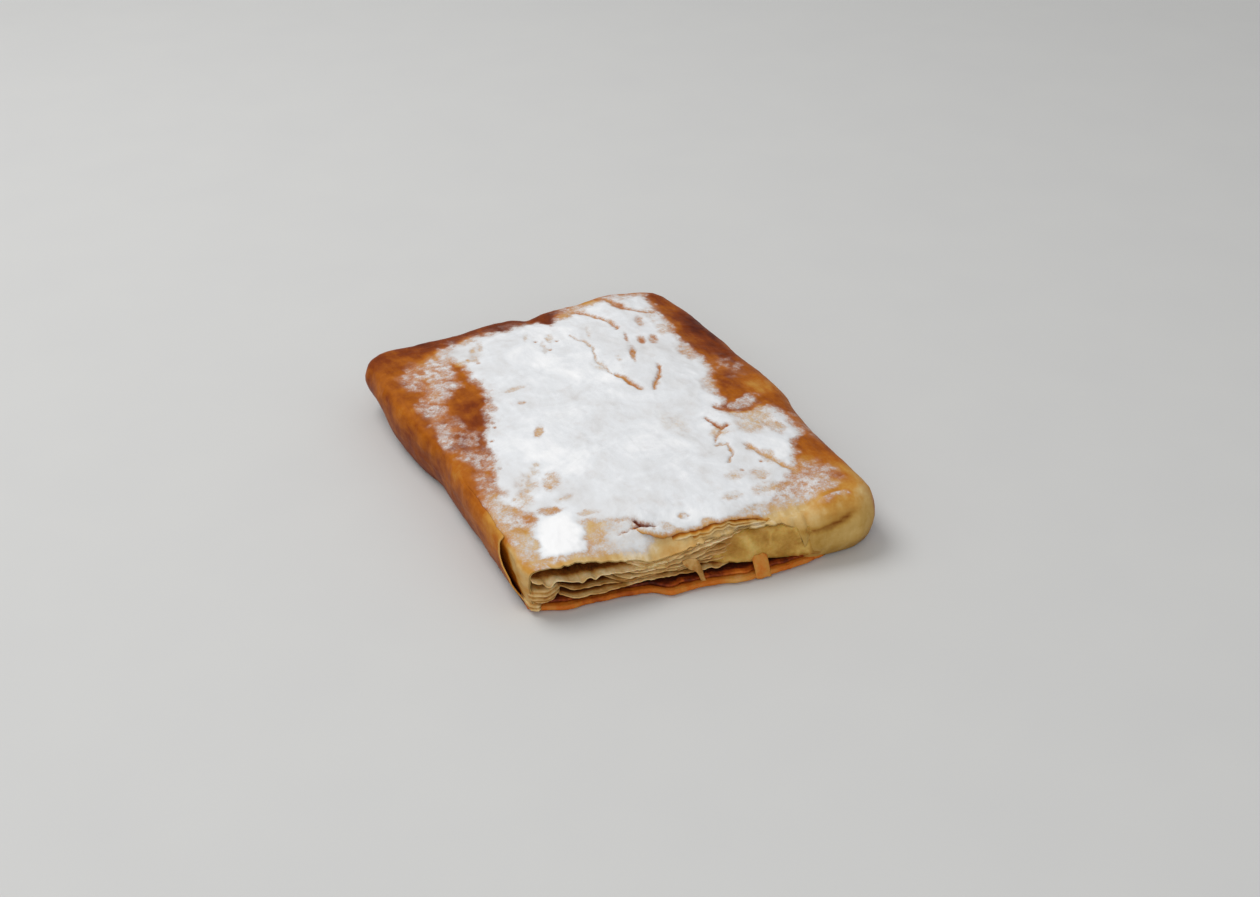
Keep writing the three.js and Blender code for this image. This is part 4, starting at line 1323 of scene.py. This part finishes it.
def wrap_surface():
    """A function for the height of the top of the wrap at any place in plan."""
    u, v = np.meshgrid(np.linspace(-1, 1, SURFACE_COLUMNS), np.linspace(-1, 1, SURFACE_ROWS))
    x, y, z = wrap_top(u, v)
    columns, rows = (np.round(place / SURFACE_CELL).astype(int) for place in (x, y))
    low_column, low_row = columns.min(), rows.min()
    cells = columns - low_column, rows - low_row
    field = np.zeros([places.max() + 1 for places in cells])
    count = np.zeros_like(field)
    np.add.at(field, cells, z)
    np.add.at(count, cells, 1)
    field /= np.maximum(count, 1)
    known = count > 0
    # cells without a point take the mean of their neighbours, round by round
    for _ in range(FILLING_ROUNDS):
        sides = [(shift, axis) for shift in (-1, 1) for axis in (0, 1)]
        near = sum(np.roll(known, *side).astype(int) for side in sides)
        mean = sum(np.roll(field * known, *side) for side in sides) / np.maximum(near, 1)
        filled = ~known & (near > 0)
        field[filled] = mean[filled]
        known |= filled

    def height(px, py):
        gx = np.clip(px / SURFACE_CELL - low_column, 0, field.shape[0] - 1.001)
        gy = np.clip(py / SURFACE_CELL - low_row, 0, field.shape[1] - 1.001)
        ix, iy = gx.astype(int), gy.astype(int)
        fx, fy = gx - ix, gy - iy
        near = mix(field[ix, iy], field[ix + 1, iy], fx)
        far = mix(field[ix, iy + 1], field[ix + 1, iy + 1], fx)
        return mix(near, far, fy)

    return height


# ---- stage -----------------------------------------------------------------------------

# The camera looks down on the open end and the left flank.
CAMERA_AZIMUTH = -25.5
CAMERA_ELEVATION = 32.0
CAMERA_DISTANCE = 0.607
CAMERA_TARGET = Vector((0.0111, 0.0054, 0.0))
LENS = 50  # millimetres, as a camera takes it
SENSOR_WIDTH = 36
CLOSEST_SEEN = 10 * MM
FLOOR_SIZE = 4.0
WORLD_LIGHT = 0.46

# name, place, size, power
LIGHTS = [
    ("key_light", (-0.35, 0.45, 1.0), 0.7, 6.6),
    ("fill_light", (-0.5, -0.9, 0.6), 0.8, 3.4),
]


def aim(thing, direction):
    """Turns a camera or a light to look along a direction."""
    thing.rotation_mode = "QUATERNION"
    thing.rotation_quaternion = direction.to_track_quat("-Z", "Y")


def make_camera():
    azimuth, elevation = math.radians(CAMERA_AZIMUTH), math.radians(CAMERA_ELEVATION)
    level = math.cos(elevation)
    back = Vector((math.sin(azimuth) * level, -math.cos(azimuth) * level, math.sin(elevation)))
    data = bpy.data.cameras.new("camera")
    data.lens = LENS
    data.sensor_width = SENSOR_WIDTH
    data.clip_start = CLOSEST_SEEN
    camera = add_object("camera", data)
    camera.location = CAMERA_TARGET + back * CAMERA_DISTANCE
    aim(camera, -back)
    bpy.context.scene.camera = camera


def add_area_light(name, place, size, power):
    data = bpy.data.lights.new(name, "AREA")
    data.shape = "DISK"
    data.size = size
    data.energy = power
    light = add_object(name, data)
    light.location = place
    aim(light, -Vector(place))


def make_world():
    world = bpy.data.worlds.new("studio")
    world.use_nodes = True
    sky = world.node_tree.nodes["Background"]
    sky.inputs["Color"].default_value = (1, 1, 1, 1)
    sky.inputs["Strength"].default_value = WORLD_LIGHT
    bpy.context.scene.world = world
    bpy.context.scene.view_settings.view_transform = "Standard"


def make_floor():
    half = FLOOR_SIZE / 2
    corners = [(-half, -half, 0), (half, -half, 0), (half, half, 0), (-half, half, 0)]
    mesh = bpy.data.meshes.new("floor")
    mesh.from_pydata(corners, [], [(0, 1, 2, 3)])
    nodes = Nodes("pale_floor")
    pale = nodes.blend(nodes.noise(40 * MM, 2), (203, 203, 202), (207, 207, 205))
    mesh.materials.append(nodes.finish(Base_Color=pale, Roughness=0.8))
    floor = add_object("floor", mesh)


# ---- everything ------------------------------------------------------------------------


def main():
    make_camera()
    for light in LIGHTS:
        add_area_light(*light)
    make_world()
    make_floor()
    build_flank_skin(build_wrap())
    wrap_height = wrap_surface()
    for flap in FLAPS:
        build_flap(wrap_height, *flap)
    for build, rows in (
        (build_bottom_sheet, BOTTOM_SHEETS),
        (build_leaf, LEAVES),
        (build_lump, LUMPS),
        (build_scrap, HANGING_SCRAPS),
    ):
        for row in rows:
            build(*row)
    build_custard()


main()
